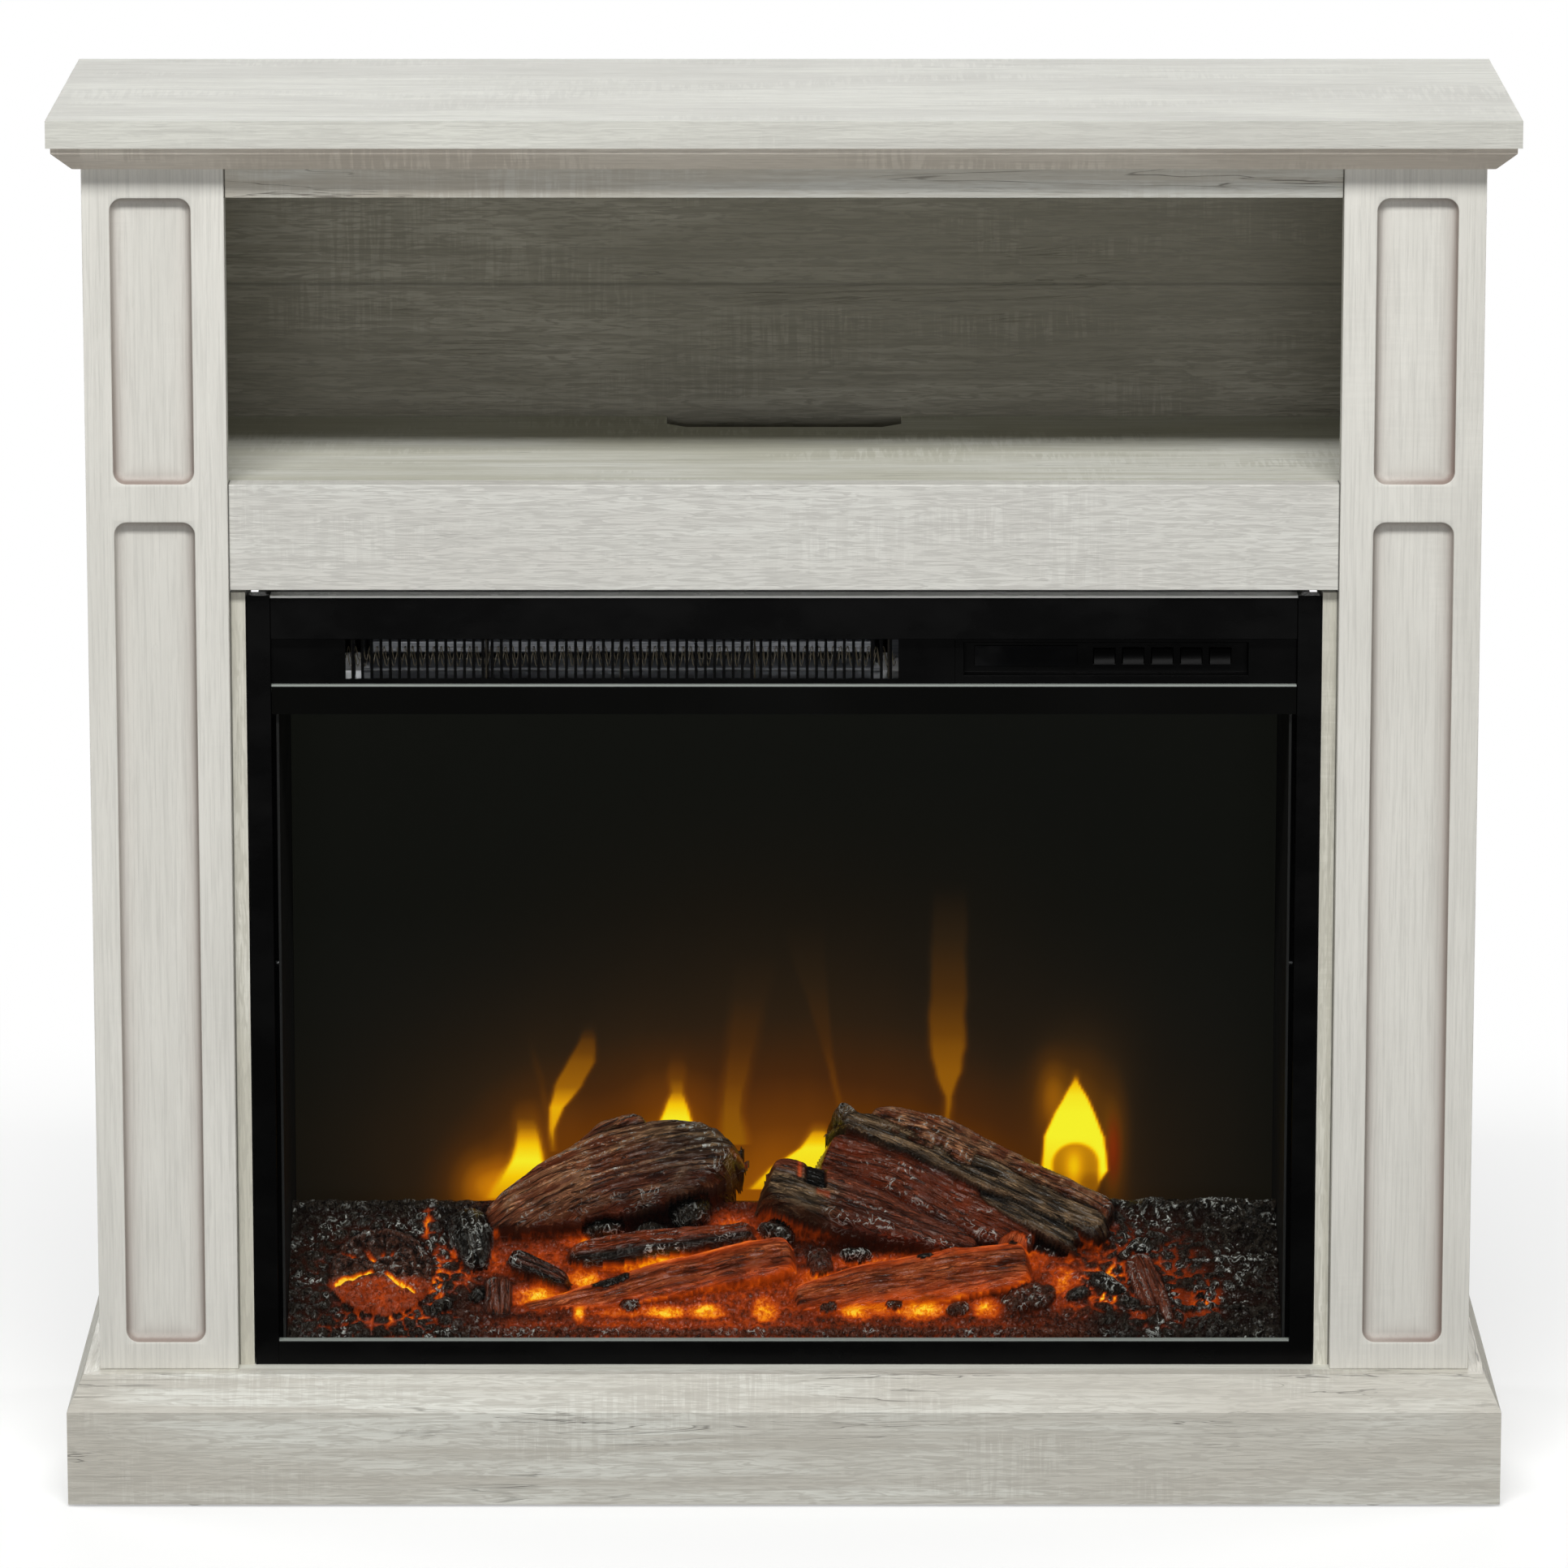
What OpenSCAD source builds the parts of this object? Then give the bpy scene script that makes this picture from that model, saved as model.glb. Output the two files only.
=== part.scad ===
// Electric fireplace: a compact mantel with an open media shelf, and a plug-in
// electric insert with a fan heater, a log bed and a flame screen.
// Front faces -Y, +X is to the right of someone facing it, +Z is up.
// The origin is on the floor, at the middle of the width and of the depth.

/* [Mantel] */
// Width of the mantel top and of the base
overall_w = 850; // [840:1:870]
// Depth from the front of the mantel top to the wall
overall_d = 265; // [262:1:275]
// Height of the whole fireplace
overall_h = 829; // [826:1:850]
// Thickness of the laminated boards
board_t = 16; // [15:0.5:16]
// How far the mantel top stands past the outside of the pilasters
side_overhang = 18.6; // [18:0.1:20]
// How far the mantel top stands past the front of the pilasters
front_overhang = 21; // [20:0.5:24]
// How far the crown starts inside the edge of the mantel top
crown_inset = 2.6; // [2:0.1:4]
// Height of the crown's upright lip
crown_lip = 3.5; // [3:0.1:5]
// Height of the whole crown moulding
crown_h = 14; // [13:0.5:16]
// How far the crown's lower edge lies inside the mantel top's edge
crown_foot_inset = 14; // [12:0.5:15]
// Height of the rail under the crown
top_rail_h = 32.3; // [28:0.1:36]
// Thickness of the back panel
back_t = 3; // [3:0.5:4]
// How far the back panel lies in front of the rear edges of the sides
back_inset = 5; // [5:0.5:8]

/* [Pilasters] */
// Width of a pilaster
pilaster_w = 82.4; // [80:0.2:84]
// Width of the routed panels
panel_w = 48; // [44:0.5:50]
// Distance from the pilaster's outer edge to its panels
panel_margin = 15.6; // [14:0.2:18]
// Depth of the routed panels
panel_depth = 5.5; // [4:0.5:6]
// Corner radius of the routed panels
panel_r = 8; // [6:0.5:10]
// Height above the floor of the lower panel's bottom edge
lower_panel_z = 95; // [90:1:100]
// Height of the lower panel
lower_panel_h = 495.8; // [480:0.2:500]
// Height above the floor of the upper panel's bottom edge
upper_panel_z = 612.4; // [610:0.2:620]
// Height of the upper panel
upper_panel_h = 169; // [160:1:172]

/* [Shelf] */
// Height above the floor of the shelf's top face
shelf_z = 612; // [608:0.5:616]
// Height of the apron under the shelf's front edge
apron_h = 62.5; // [60:0.5:63]
// How far the apron and the top rail lie behind the pilaster fronts
rail_setback = 4; // [2:0.5:6]
// Width of the cable notch in the shelf's rear edge
notch_w = 142; // [120:1:160]
// Depth of the cable notch
notch_d = 38; // [30:1:40]

/* [Base] */
// Height of the base
base_h = 79; // [75:1:80]
// Height of the base's upright face, below its bevel
base_face_h = 58; // [50:1:62]
// How far the base's bevel leans back
base_bevel = 9.5; // [8:0.5:11]
// Height of the nail-on floor glides
glide_h = 1.5; // [1:0.5:3]
// Radius of the floor glides
glide_r = 7.5; // [6:0.5:8]

/* [Insert] */
// Width of the insert's front frame
insert_w = 628.6; // [620:0.2:630]
// Height of the insert
insert_h = 466; // [460:1:467]
// Depth of the insert
insert_d = 190; // [185:1:200]
// How far the insert's front lies behind the front of the mantel top
insert_setback = 31; // [28:0.5:34]
// Width of the frame's side rails
rail_w = 13.8; // [12:0.2:16]
// Height of the frame's bottom rail
bottom_rail_h = 14; // [12:0.5:16]
// Height of the fascia over the air outlet
fascia_h = 26; // [24:0.5:28]
// Depth of the frame's rails
frame_d = 12.5; // [12:0.5:14]
// Sheet thickness of the casing and the frame
sheet_t = 1.5; // [1.2:0.1:1.5]
// Height of the glass
glass_h = 398.5; // [390:0.5:400]
// Thickness of the glass
glass_t = 4; // [3:0.5:4]
// How far the glass lies behind the frame's front
glass_setback = 1.6; // [1.2:0.1:2]

/* [Firebox] */
// Distance from the glass's back to the flame screen
firebox_d = 126; // [120:1:128]
// Height of the firebox ceiling above the insert's bottom
ceiling_h = 403; // [400:1:406]
// Thickness of the flame screen
screen_t = 3; // [2:0.5:3]
// Height of the log bed's rear edge above the floor
bed_back_z = 156; // [150:1:160]
// Thickness of the log bed's moulded shell
bed_t = 4; // [3:0.5:5]
// Radius of the flame spindle's rod
spindle_r = 2.5; // [2:0.1:3]
// Radius of the circle that the spindle's reflector flags sweep
flag_r = 16; // [12:0.5:17]
// Height of the flame spindle above the floor
spindle_z = 150; // [148:1:154]

/* [Heater] */
// Number of slots in the air outlet
slot_count = 60; // [40:1:60]
// Distance from one slot to the next
slot_pitch = 5.43; // [5:0.01:5.45]
// Width of a slot
slot_w = 3.7; // [3:0.1:3.8]
// Place of the first slot, from the middle of the fireplace
slot_start = -257; // [-260:1:-250]
// Radius of the cross-flow impeller
impeller_r = 22.5; // [20:0.5:23]
// Number of impeller blades
blade_count = 24; // [16:1:28]
// Radial clearance of a shaft in its bearing
running_gap = 0.05; // [0.02:0.01:0.1]

/* [Controls] */
// Left edge of the control recess, from the middle of the fireplace
recess_x = 105.5; // [104:0.5:108]
// Width of the control recess
recess_w = 166.5; // [160:0.5:168]
// Depth of the control recess
recess_d = 10; // [8:0.5:10]
// Width of a push button
button_w = 12; // [10:0.5:13]
// Height of a push button
button_h = 9; // [7:0.5:9.5]
// Travel of a push button
button_travel = 1.5; // [1:0.1:1.6]
// Distance from one button to the next
button_pitch = 17; // [16:0.5:18]

/* [Hidden] */
$fn = 48;
eps = 0.01;

// Mantel levels and planes
half_w = overall_w / 2;
front_y = -overall_d / 2;
back_y = overall_d / 2;
top_z = overall_h - board_t;
case_half = half_w - side_overhang;
pilaster_y = front_y + front_overhang;
pilaster_in = case_half - pilaster_w;
side_in = case_half - board_t;
rail_y = pilaster_y + rail_setback;
rail_back_y = rail_y + board_t;
back_panel_y = back_y - back_inset - back_t;
back_panel_z = 560;
groove_d = 5;
groove_play = 0.1;
notch_chamfer = 12;

// Insert levels and planes
insert_half = insert_w / 2;
shell_inset = 6.3;
insert_gap = 0.7;
insert_y = front_y + insert_setback;
insert_top = base_h + insert_h;
insert_back = insert_y + insert_d;
frame_in = insert_half - rail_w;
frame_back = insert_y + frame_d;
shell_half = insert_half - shell_inset;
jamb_in = insert_half + insert_gap;
jamb_top = insert_top + 2;
jamb_d = 60;
glass_y = insert_y + glass_setback;
glass_z = base_h + bottom_rail_h;
outlet_z = glass_z + glass_h;
fascia_z = insert_top - fascia_h;
grille_y = insert_y + 5;
grille_t = 2;
grille_top = fascia_z + 8;
bezel_x = recess_x - 5.5;
flange_w = 12;
louvre_w = 100;
louvre_h = 3;
louvre_pitch = 7;

// Firebox planes
liner_half = frame_in - 2.5;
liner_y = glass_y + glass_t + 0.5;
screen_y = glass_y + glass_t + firebox_d;
ceiling_z = base_h + ceiling_h;
bed_front_y = liner_y + 1.5;
bed_back_y = screen_y - 19;
bed_floor_z = base_h + sheet_t + 3;
heap_half = 185;
mask_y = screen_y + 12;
spindle_y = screen_y + 32;
flag_half = 250;
bracket_x = 264;
led_post_h = 15.5;
mask_top = 340;
mask_flames = 7;
mask_pitch = 70;
flag_pitch = 56;
flag_w = 48;
flag_t = 0.6;

// Heater planes
duct_x0 = slot_start - 5;
duct_x1 = slot_start + slot_count * slot_pitch + 1.2;
duct_y = grille_y + grille_t + 0.2;
duct_back = duct_y + 49;
duct_z0 = ceiling_z + sheet_t + 4.5;
duct_z1 = insert_top - sheet_t - 2.5;
blower_y = duct_back + 37;
blower_z = (duct_z0 + duct_z1) / 2;
scroll_r = impeller_r + 2.5;
scroll_x0 = duct_x0 + 12;
scroll_x1 = duct_x1 - 12;
scroll_t = 1.2;
coil_r = 4.2;
coil_y = [duct_y + 14, duct_y + 32];
coil_z = [duct_z0 + 15, duct_z0 + 37];

// Control planes
bezel_back = grille_y + recess_d + 4;
recess_z0 = outlet_z + 5;
recess_z1 = fascia_z - 3;
button_z = (recess_z0 + recess_z1) / 2;
first_button_x = recess_x + 82.5;
button_proud = 3;
button_gap = 0.3;
window_x = recess_x + 6.5;
window_w = 60;
window_h = 12;
dish_r = 20;
button_lip = 1.2;
plunger_r = 1.5;
plunger = 2.5;
switch_w = 6;
switch_h = 1.3;
board_y = bezel_back + plunger + button_travel + 0.2 + switch_h;
pcb_t = 1.6;
standoff_h = 4;
relay_board_x = 110;
chip = [14, 2, 14];
plug_socket = [30, 7, 8];
relay = [19, 16, 15];
transformer = [32, 32, 26];
terminal_block = [68, 12, 11];

// Fastenings
cam_r = 7.5;
cam_depth = 12.5;
cam_reach = 34;
cam_bolt_r = 3;
cam_thread = 10;
cam_y = [-60, 85];
screw_r = 1.75;
screw_head_r = 3.5;
screw_head_h = 2.2;
screw_len = 8;
bracket_z = 305;
wall_bracket_x = 200;
wall_bracket_w = 24;
wall_hole_z = 790;
wall_hole_r = 2.25;
wall_bracket_t = 2;
wall_bracket_leg = 38;
insert_bracket_half = 15;
gland_x = -285;
gland_z = 110;
gland_bore_r = 4;
gland_neck_r = 8;
gland_flange_r = 11;

wood = [0.80, 0.80, 0.75];
raw_board = [0.72, 0.62, 0.48];
black = [0.05, 0.05, 0.05];
led_white = [0.85, 0.85, 0.8];
pcb_green = [0.05, 0.25, 0.12];
steel = [0.62, 0.63, 0.65];

// A box between two opposite corners
module box(x0, x1, y0, y1, z0, z1)
  translate([x0, y0, z0]) cube([x1 - x0, y1 - y0, z1 - z0]);

// A (y, z) outline drawn out along X
module along_x(x0, x1)
  translate([x0, 0, 0]) rotate([90, 0, 90]) linear_extrude(x1 - x0) children();

// An (x, z) outline drawn out along Y
module along_y(y0, y1)
  translate([0, y1, 0]) rotate([90, 0, 0]) linear_extrude(y1 - y0) children();

// A cylinder along X, with its axis at a given y and z
module rod_x(x0, x1, y, z, r)
  translate([x0, y, z]) rotate([0, 90, 0]) cylinder(r = r, h = x1 - x0);

// A cylinder along Y, with its axis at a given x and z
module rod_y(y0, y1, x, z, r)
  translate([x, y0, z]) rotate([-90, 0, 0]) cylinder(r = r, h = y1 - y0);

module left_side() mirror([1, 0, 0]) children();

// ---------------------------------------------------------------- Mouldings

// The plan shape of the front moulding, mitred at both ends
module front_mitre() polygon([
  [-half_w, front_y], [half_w, front_y],
  [case_half, front_y + side_overhang], [case_half, pilaster_y],
  [-case_half, pilaster_y], [-case_half, front_y + side_overhang]
]);

// The plan shape of the right-hand moulding, mitred at its front end
module side_mitre() polygon([
  [half_w, front_y], [half_w, back_y],
  [case_half, back_y], [case_half, front_y + side_overhang]
]);

// Outlines as (distance inside the mantel top's edge, height), for a moulding
// that reaches in as far as the overhang
function crown_outline(overhang) = [
  [crown_inset, top_z], [crown_inset, top_z - crown_lip],
  [crown_foot_inset, top_z - crown_h], [overhang, top_z - crown_h], [overhang, top_z]
];
function base_outline(overhang) = [
  [0, glide_h], [0, base_face_h], [base_bevel, base_h], [overhang, base_h],
  [overhang, glide_h]
];

module front_moulding(outline) intersection() {
  along_x(-half_w, half_w) polygon([for (p = outline) [front_y + p[0], p[1]]]);
  linear_extrude(overall_h) front_mitre();
}

module side_moulding(outline) intersection() {
  along_y(front_y, back_y) polygon([for (p = outline) [half_w - p[0], p[1]]]);
  linear_extrude(overall_h) side_mitre();
}

module crown_front() color(wood) front_moulding(crown_outline(front_overhang));
module crown_right() color(wood) side_moulding(crown_outline(side_overhang));
module crown_left() left_side() crown_right();

module base_front() color(wood) difference() {
  front_moulding(base_outline(front_overhang));
  glide_nails();
}
module base_right() color(wood) difference() {
  side_moulding(base_outline(side_overhang));
  glide_nails();
}
module base_left() left_side() base_right();

// --------------------------------------------------------------- Cam joints

// Each cam joint is drawn at the origin: the bolt is screwed into the board
// above and hangs down, and the cam's open face looks along +Y
module cam_lock() difference() {
  translate([0, -cam_depth, -cam_reach]) rotate([-90, 0, 0])
    cylinder(r = cam_r, h = cam_depth - 0.5);
  translate([0, -cam_depth / 2, -cam_reach]) cylinder(r = cam_bolt_r + 0.2, h = cam_reach);
  for (turn = [45, -45]) translate([0, -1.5, -cam_reach]) rotate([0, turn, 0])
    cube([9, 4, 1.4], center = true);
}

module cam_bolt() translate([0, -cam_depth / 2, 0]) {
  translate([0, 0, -cam_reach + 1]) cylinder(r = cam_bolt_r, h = cam_reach - 1);
  cylinder(r = cam_bolt_r - 0.5, h = cam_thread);
}

// The pocket and the drillings that a cam joint needs
module cam_cut() {
  translate([0, -cam_depth, -cam_reach]) rotate([-90, 0, 0])
    cylinder(r = cam_r, h = cam_depth + 1);
  translate([0, -cam_depth / 2, -cam_reach]) cylinder(r = cam_bolt_r + 1, h = cam_reach);
  translate([0, -cam_depth / 2, -eps]) cylinder(r = cam_bolt_r - 0.5, h = cam_thread + eps);
}

// The right-hand half of the cam joints: side panel to mantel top, side panel
// to base board, and shelf to side panel
module cam_places_right() for (y = cam_y) {
  translate([side_in, y, top_z]) rotate([0, 0, 90]) children();
  translate([side_in, y, base_h]) rotate([180, 0, -90]) children();
  translate([side_in, y, shelf_z - board_t]) rotate([-90, 0, 0]) rotate([0, 90, 0])
    children();
}

module cam_places() {
  cam_places_right() children();
  left_side() cam_places_right() children();
}

module cam_locks() color(steel) cam_places() cam_lock();
module cam_bolts() color(steel) cam_places() cam_bolt();

// -------------------------------------------------------------------- Mantel

module mantel_top() color(wood) difference() {
  box(-half_w, half_w, front_y, back_y, top_z, overall_h);
  cam_places() cam_cut();
  screws();
}

module top_rail() color(wood)
  box(-pilaster_in, pilaster_in, rail_y, rail_back_y, top_z - top_rail_h, top_z);

// One routed panel, from the pilaster's front inwards
module routed_panel(z, h) {
  x0 = case_half - panel_margin - panel_w;
  y1 = pilaster_y + panel_depth;
  along_y(pilaster_y - 1, y1) union() {
    translate([x0, z + panel_r]) square([panel_w, h - 2 * panel_r]);
    translate([x0 + panel_r, z]) square([panel_w - 2 * panel_r, h]);
    for (x = [x0 + panel_r, x0 + panel_w - panel_r], v = [z + panel_r, z + h - panel_r])
      translate([x, v]) circle(panel_r);
  }
}

module pilaster_right() color(wood) difference() {
  box(pilaster_in, case_half, pilaster_y, pilaster_y + board_t, base_h, top_z);
  routed_panel(lower_panel_z, lower_panel_h);
  routed_panel(upper_panel_z, upper_panel_h);
}
module pilaster_left() left_side() pilaster_right();

module side_panel_right() color(wood) difference() {
  box(side_in, case_half, pilaster_y + board_t, back_y, base_h, top_z);
  box(side_in - 1, side_in + groove_d, back_panel_y - groove_play,
    back_panel_y + back_t + groove_play, back_panel_z - 1, top_z + 1);
  cam_places_right() cam_cut();
}
module side_panel_left() left_side() side_panel_right();

module shelf_board() color(wood) difference() {
  union() {
    box(-side_in, side_in, rail_back_y, back_panel_y, shelf_z - board_t, shelf_z);
    for (s = [0, 1]) mirror([s, 0, 0])
      box(pilaster_in, side_in, pilaster_y + board_t, rail_back_y + eps,
        shelf_z - board_t, shelf_z);
  }
  notch_half = notch_w / 2;
  notch_y = back_panel_y - notch_d;
  translate([0, 0, shelf_z - board_t - 1]) linear_extrude(board_t + 2) polygon([
    [-notch_half, back_y], [-notch_half, notch_y + notch_chamfer],
    [-notch_half + notch_chamfer, notch_y], [notch_half - notch_chamfer, notch_y],
    [notch_half, notch_y + notch_chamfer], [notch_half, back_y]
  ]);
  cam_places() cam_cut();
}

module apron() color(wood)
  box(-pilaster_in, pilaster_in, rail_y, rail_back_y, shelf_z - apron_h, shelf_z);

module back_panel() color(wood)
  box(-side_in - groove_d + 0.5, side_in + groove_d - 0.5, back_panel_y,
    back_panel_y + back_t, back_panel_z, top_z - 2.5);

module jamb_right() color(wood) difference() {
  box(jamb_in, pilaster_in, insert_y, insert_y + jamb_d, base_h, jamb_top);
  screws();
}
module jamb_left() left_side() jamb_right();

module base_board() color(raw_board) difference() {
  box(-case_half, case_half, pilaster_y, back_y, base_h - board_t, base_h);
  cam_places() cam_cut();
}

module base_back_rail() color(raw_board) difference() {
  box(-case_half, case_half, back_y - board_t, back_y, glide_h, base_h - board_t);
  glide_nails();
}

// The floor glides stand under the front, the sides and the rear rail
module glide_places() for (s = [-1, 1]) {
  translate([s * (half_w - 75), front_y + front_overhang / 2, 0]) children();
  translate([s * (half_w - side_overhang / 2), 20, 0]) children();
  translate([s * (half_w - 75), back_y - board_t / 2, 0]) children();
}
module glide_nails() glide_places() cylinder(r = 1.5, h = 14);
module floor_glides() color([0.85, 0.85, 0.82]) glide_places() {
  cylinder(r1 = glide_r - 0.6, r2 = glide_r, h = 0.6);
  translate([0, 0, 0.6]) cylinder(r = glide_r, h = glide_h - 0.6);
  cylinder(r = 1.5, h = 14);
}

// ---------------------------------------------------------------- Fastenings

// A pan-head screw whose head sits on z = 0 and whose shank points down
module screw() {
  translate([0, 0, -screw_len]) cylinder(r = screw_r, h = screw_len + 1);
  cylinder(r1 = screw_head_r, r2 = screw_head_r - 0.7, h = screw_head_h);
}

module screws() color(steel) for (s = [0, 1]) mirror([s, 0, 0]) {
  // rear cover
  for (z = [base_h + 21, base_h + 161, base_h + 306, insert_top - 20])
    translate([shell_half - 6, insert_back, z]) rotate([-90, 0, 0]) screw();
  // top cover
  for (y = [-60, 40]) translate([shell_half - 6, y, insert_top]) screw();
  // brackets that hold the insert to the jambs
  translate([shell_half + sheet_t, -20, bracket_z]) rotate([0, 90, 0]) screw();
  translate([jamb_in + 4.5, insert_y + jamb_d + sheet_t, bracket_z]) rotate([-90, 0, 0])
    screw();
  // anti-tip brackets
  translate([wall_bracket_x, 114, top_z - 2]) rotate([180, 0, 0]) screw();
}

module wall_brackets() color(steel) difference() {
  for (s = [-1, 1]) translate([s * wall_bracket_x - wall_bracket_w / 2, 0, 0]) {
    box(0, wall_bracket_w, back_y - 32.5, back_y, top_z - wall_bracket_t, top_z);
    box(0, wall_bracket_w, back_y - wall_bracket_t, back_y, top_z - wall_bracket_leg, top_z);
  }
  screws();
  for (s = [-1, 1])
    rod_y(back_y - 3, back_y + 1, s * wall_bracket_x, wall_hole_z, wall_hole_r);
}

module insert_brackets() color(steel) difference() {
  for (s = [0, 1]) mirror([s, 0, 0]) {
    box(shell_half, shell_half + sheet_t, insert_y + jamb_d, -9,
      bracket_z - insert_bracket_half, bracket_z + insert_bracket_half);
    box(shell_half, pilaster_in, insert_y + jamb_d, insert_y + jamb_d + sheet_t,
      bracket_z - insert_bracket_half, bracket_z + insert_bracket_half);
  }
  screws();
}

// ------------------------------------------------------------ Insert casing

// Floor and both sides of the casing, bent from one sheet, with flanges
module case_wrapper() color(black) difference() {
  union() {
    box(-shell_half, shell_half, frame_back, insert_back - sheet_t, base_h, base_h + sheet_t);
    for (s = [0, 1]) mirror([s, 0, 0]) {
      box(shell_half - sheet_t, shell_half, frame_back, insert_back - sheet_t, base_h,
        insert_top - sheet_t);
      box(shell_half - flange_w, shell_half, insert_back - 2 * sheet_t,
        insert_back - sheet_t, base_h, insert_top - sheet_t);
      box(shell_half - flange_w, shell_half, frame_back, insert_back - sheet_t,
        insert_top - 2 * sheet_t, insert_top - sheet_t);
    }
  }
  screws();
}

module top_cover() color(black) difference() {
  box(-shell_half, shell_half, frame_back, insert_back, insert_top - sheet_t, insert_top);
  screws();
}

// Rows of intake louvres, a given number high
module louvres(x, z, count) for (i = [0:count - 1])
  box(x - louvre_w / 2, x + louvre_w / 2, insert_back - 5, insert_back + 1,
    z + i * louvre_pitch, z + i * louvre_pitch + louvre_h);

module rear_cover() color(black) difference() {
  box(-shell_half, shell_half, insert_back - sheet_t, insert_back, base_h,
    insert_top - sheet_t);
  for (x = [-220, -95, 30, 155]) louvres(x, insert_top - 50, 6);
  for (x = [-110, 110]) louvres(x, base_h + 20, 4);
  rod_y(insert_back - 5, insert_back + 1, gland_x, gland_z, gland_neck_r);
  screws();
}

// A strain-relief bush for the mains lead, seated in the rear cover
module cord_gland() color(black) difference() {
  union() {
    rod_y(insert_back - 9, insert_back + 1, gland_x, gland_z, gland_neck_r);
    rod_y(insert_back, insert_back + 3, gland_x, gland_z, gland_flange_r);
    rod_y(insert_back + 3, insert_back + 8, gland_x, gland_z, gland_neck_r - 1);
    rod_y(insert_back - 9, insert_back - 6, gland_x, gland_z, gland_neck_r + 1);
  }
  rod_y(insert_back - 10, insert_back + 9, gland_x, gland_z, gland_bore_r);
}

// ------------------------------------------------------------- Front frame

module trim_right() color(black) difference() {
  box(frame_in, insert_half, insert_y, frame_back, base_h, insert_top);
  box(frame_in + sheet_t, insert_half - sheet_t, insert_y + sheet_t, frame_back + 1,
    base_h + sheet_t, insert_top - sheet_t);
}
module trim_left() left_side() trim_right();

module trim_bottom() color(black) difference() {
  box(-frame_in, frame_in, insert_y, frame_back, base_h, glass_z);
  box(-frame_in - 1, frame_in + 1, insert_y + sheet_t, frame_back + 1, base_h + sheet_t,
    glass_z - sheet_t);
  // the top flange ends under the back of the glass
  box(-frame_in - 1, frame_in + 1, glass_y + glass_t, frame_back + 1, base_h + sheet_t,
    glass_z + 1);
}

module top_fascia() color(black) difference() {
  box(-frame_in, frame_in, insert_y, frame_back, fascia_z, insert_top);
  box(-frame_in - 1, frame_in + 1, insert_y + sheet_t, frame_back + 1, fascia_z + sheet_t,
    insert_top - sheet_t);
  box(-frame_in - 1, frame_in + 1, grille_y - 0.5, frame_back + 1, fascia_z - 1,
    fascia_z + 2 * sheet_t);
}

module glass_front() color([0.1, 0.1, 0.1, 0.4])
  box(-frame_in + 0.2, frame_in - 0.2, glass_y, glass_y + glass_t, glass_z, outlet_z);

module outlet_grille() color(black) difference() {
  box(-frame_in, bezel_x, grille_y, grille_y + grille_t, outlet_z, grille_top);
  for (i = [0:slot_count - 1]) {
    x = slot_start + i * slot_pitch;
    box(x, x + slot_w, grille_y - 1, grille_y + grille_t + 1, outlet_z + 3, grille_top - 6);
  }
}

// ------------------------------------------------------------------ Controls

function button_x(i) = first_button_x + i * button_pitch;

module control_bezel() color(black) difference() {
  box(bezel_x, frame_in, grille_y, bezel_back, outlet_z, grille_top);
  box(recess_x, recess_x + recess_w, grille_y - 1, grille_y + recess_d, recess_z0, recess_z1);
  box(window_x, window_x + window_w, grille_y, bezel_back + 1, button_z - window_h / 2,
    button_z + window_h / 2);
  for (i = [0:4])
    box(button_x(i) - button_w / 2 - button_gap, button_x(i) + button_w / 2 + button_gap,
      grille_y, bezel_back + 1, button_z - button_h / 2 - button_gap,
      button_z + button_h / 2 + button_gap);
}

module display_window() color([0.02, 0.02, 0.03])
  box(window_x, window_x + window_w, bezel_back - 4.4, bezel_back - 1.5,
    button_z - window_h / 2, button_z + window_h / 2);

// A push button: a cap with a finger dish, a retaining flange and a plunger
module button(i) color(black) translate([button_x(i), 0, button_z]) {
  cap_y = bezel_back - 4 - button_proud;
  difference() {
    box(-button_w / 2, button_w / 2, cap_y, bezel_back + 0.5, -button_h / 2, button_h / 2);
    rod_x(-button_w, button_w, cap_y - dish_r + 0.6, 0, dish_r);
  }
  box(-button_w / 2 - button_lip, button_w / 2 + button_lip, bezel_back + 0.2,
    bezel_back + 1.4, -button_h / 2 - button_lip, button_h / 2 + button_lip);
  rod_y(bezel_back + 1.2, bezel_back + plunger, 0, 0, plunger_r);
}

// The board behind the controls: switches and a display module in front, and a
// chip and a plug socket behind
module control_board() color(pcb_green) {
  back = board_y + pcb_t;
  box(bezel_x + 4, frame_in - 3, board_y, back, outlet_z + 1, grille_top + 12);
  for (i = [0:4])
    box(button_x(i) - switch_w / 2, button_x(i) + switch_w / 2, board_y - switch_h, board_y,
      button_z - switch_w / 2, button_z + switch_w / 2);
  box(window_x + 1, window_x + window_w - 1, bezel_back + 0.2, board_y,
    button_z - window_h / 2, button_z + window_h / 2);
  translate([bezel_x + 20, back, outlet_z + 8]) cube(chip);
  translate([bezel_x + 120, back, outlet_z + 30]) cube(plug_socket);
}

// The board that switches the heater: three relays, a transformer and terminals
module relay_board() color(pcb_green) {
  z = ceiling_z + sheet_t + standoff_h;
  top = z + pcb_t;
  box(relay_board_x, relay_board_x + 130, -40, 40, z, top);
  for (x = [6, 124], y = [-34, 34])
    translate([relay_board_x + x, y, ceiling_z + sheet_t])
      cylinder(r = 2.5, h = standoff_h + eps);
  for (i = [0:2]) translate([relay_board_x + 12 + 26 * i, -30, top]) cube(relay);
  translate([relay_board_x + 90, -28, top]) cube(transformer);
  translate([relay_board_x + 12, 18, top]) cube(terminal_block);
}

// ------------------------------------------------------------------- Firebox

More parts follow.
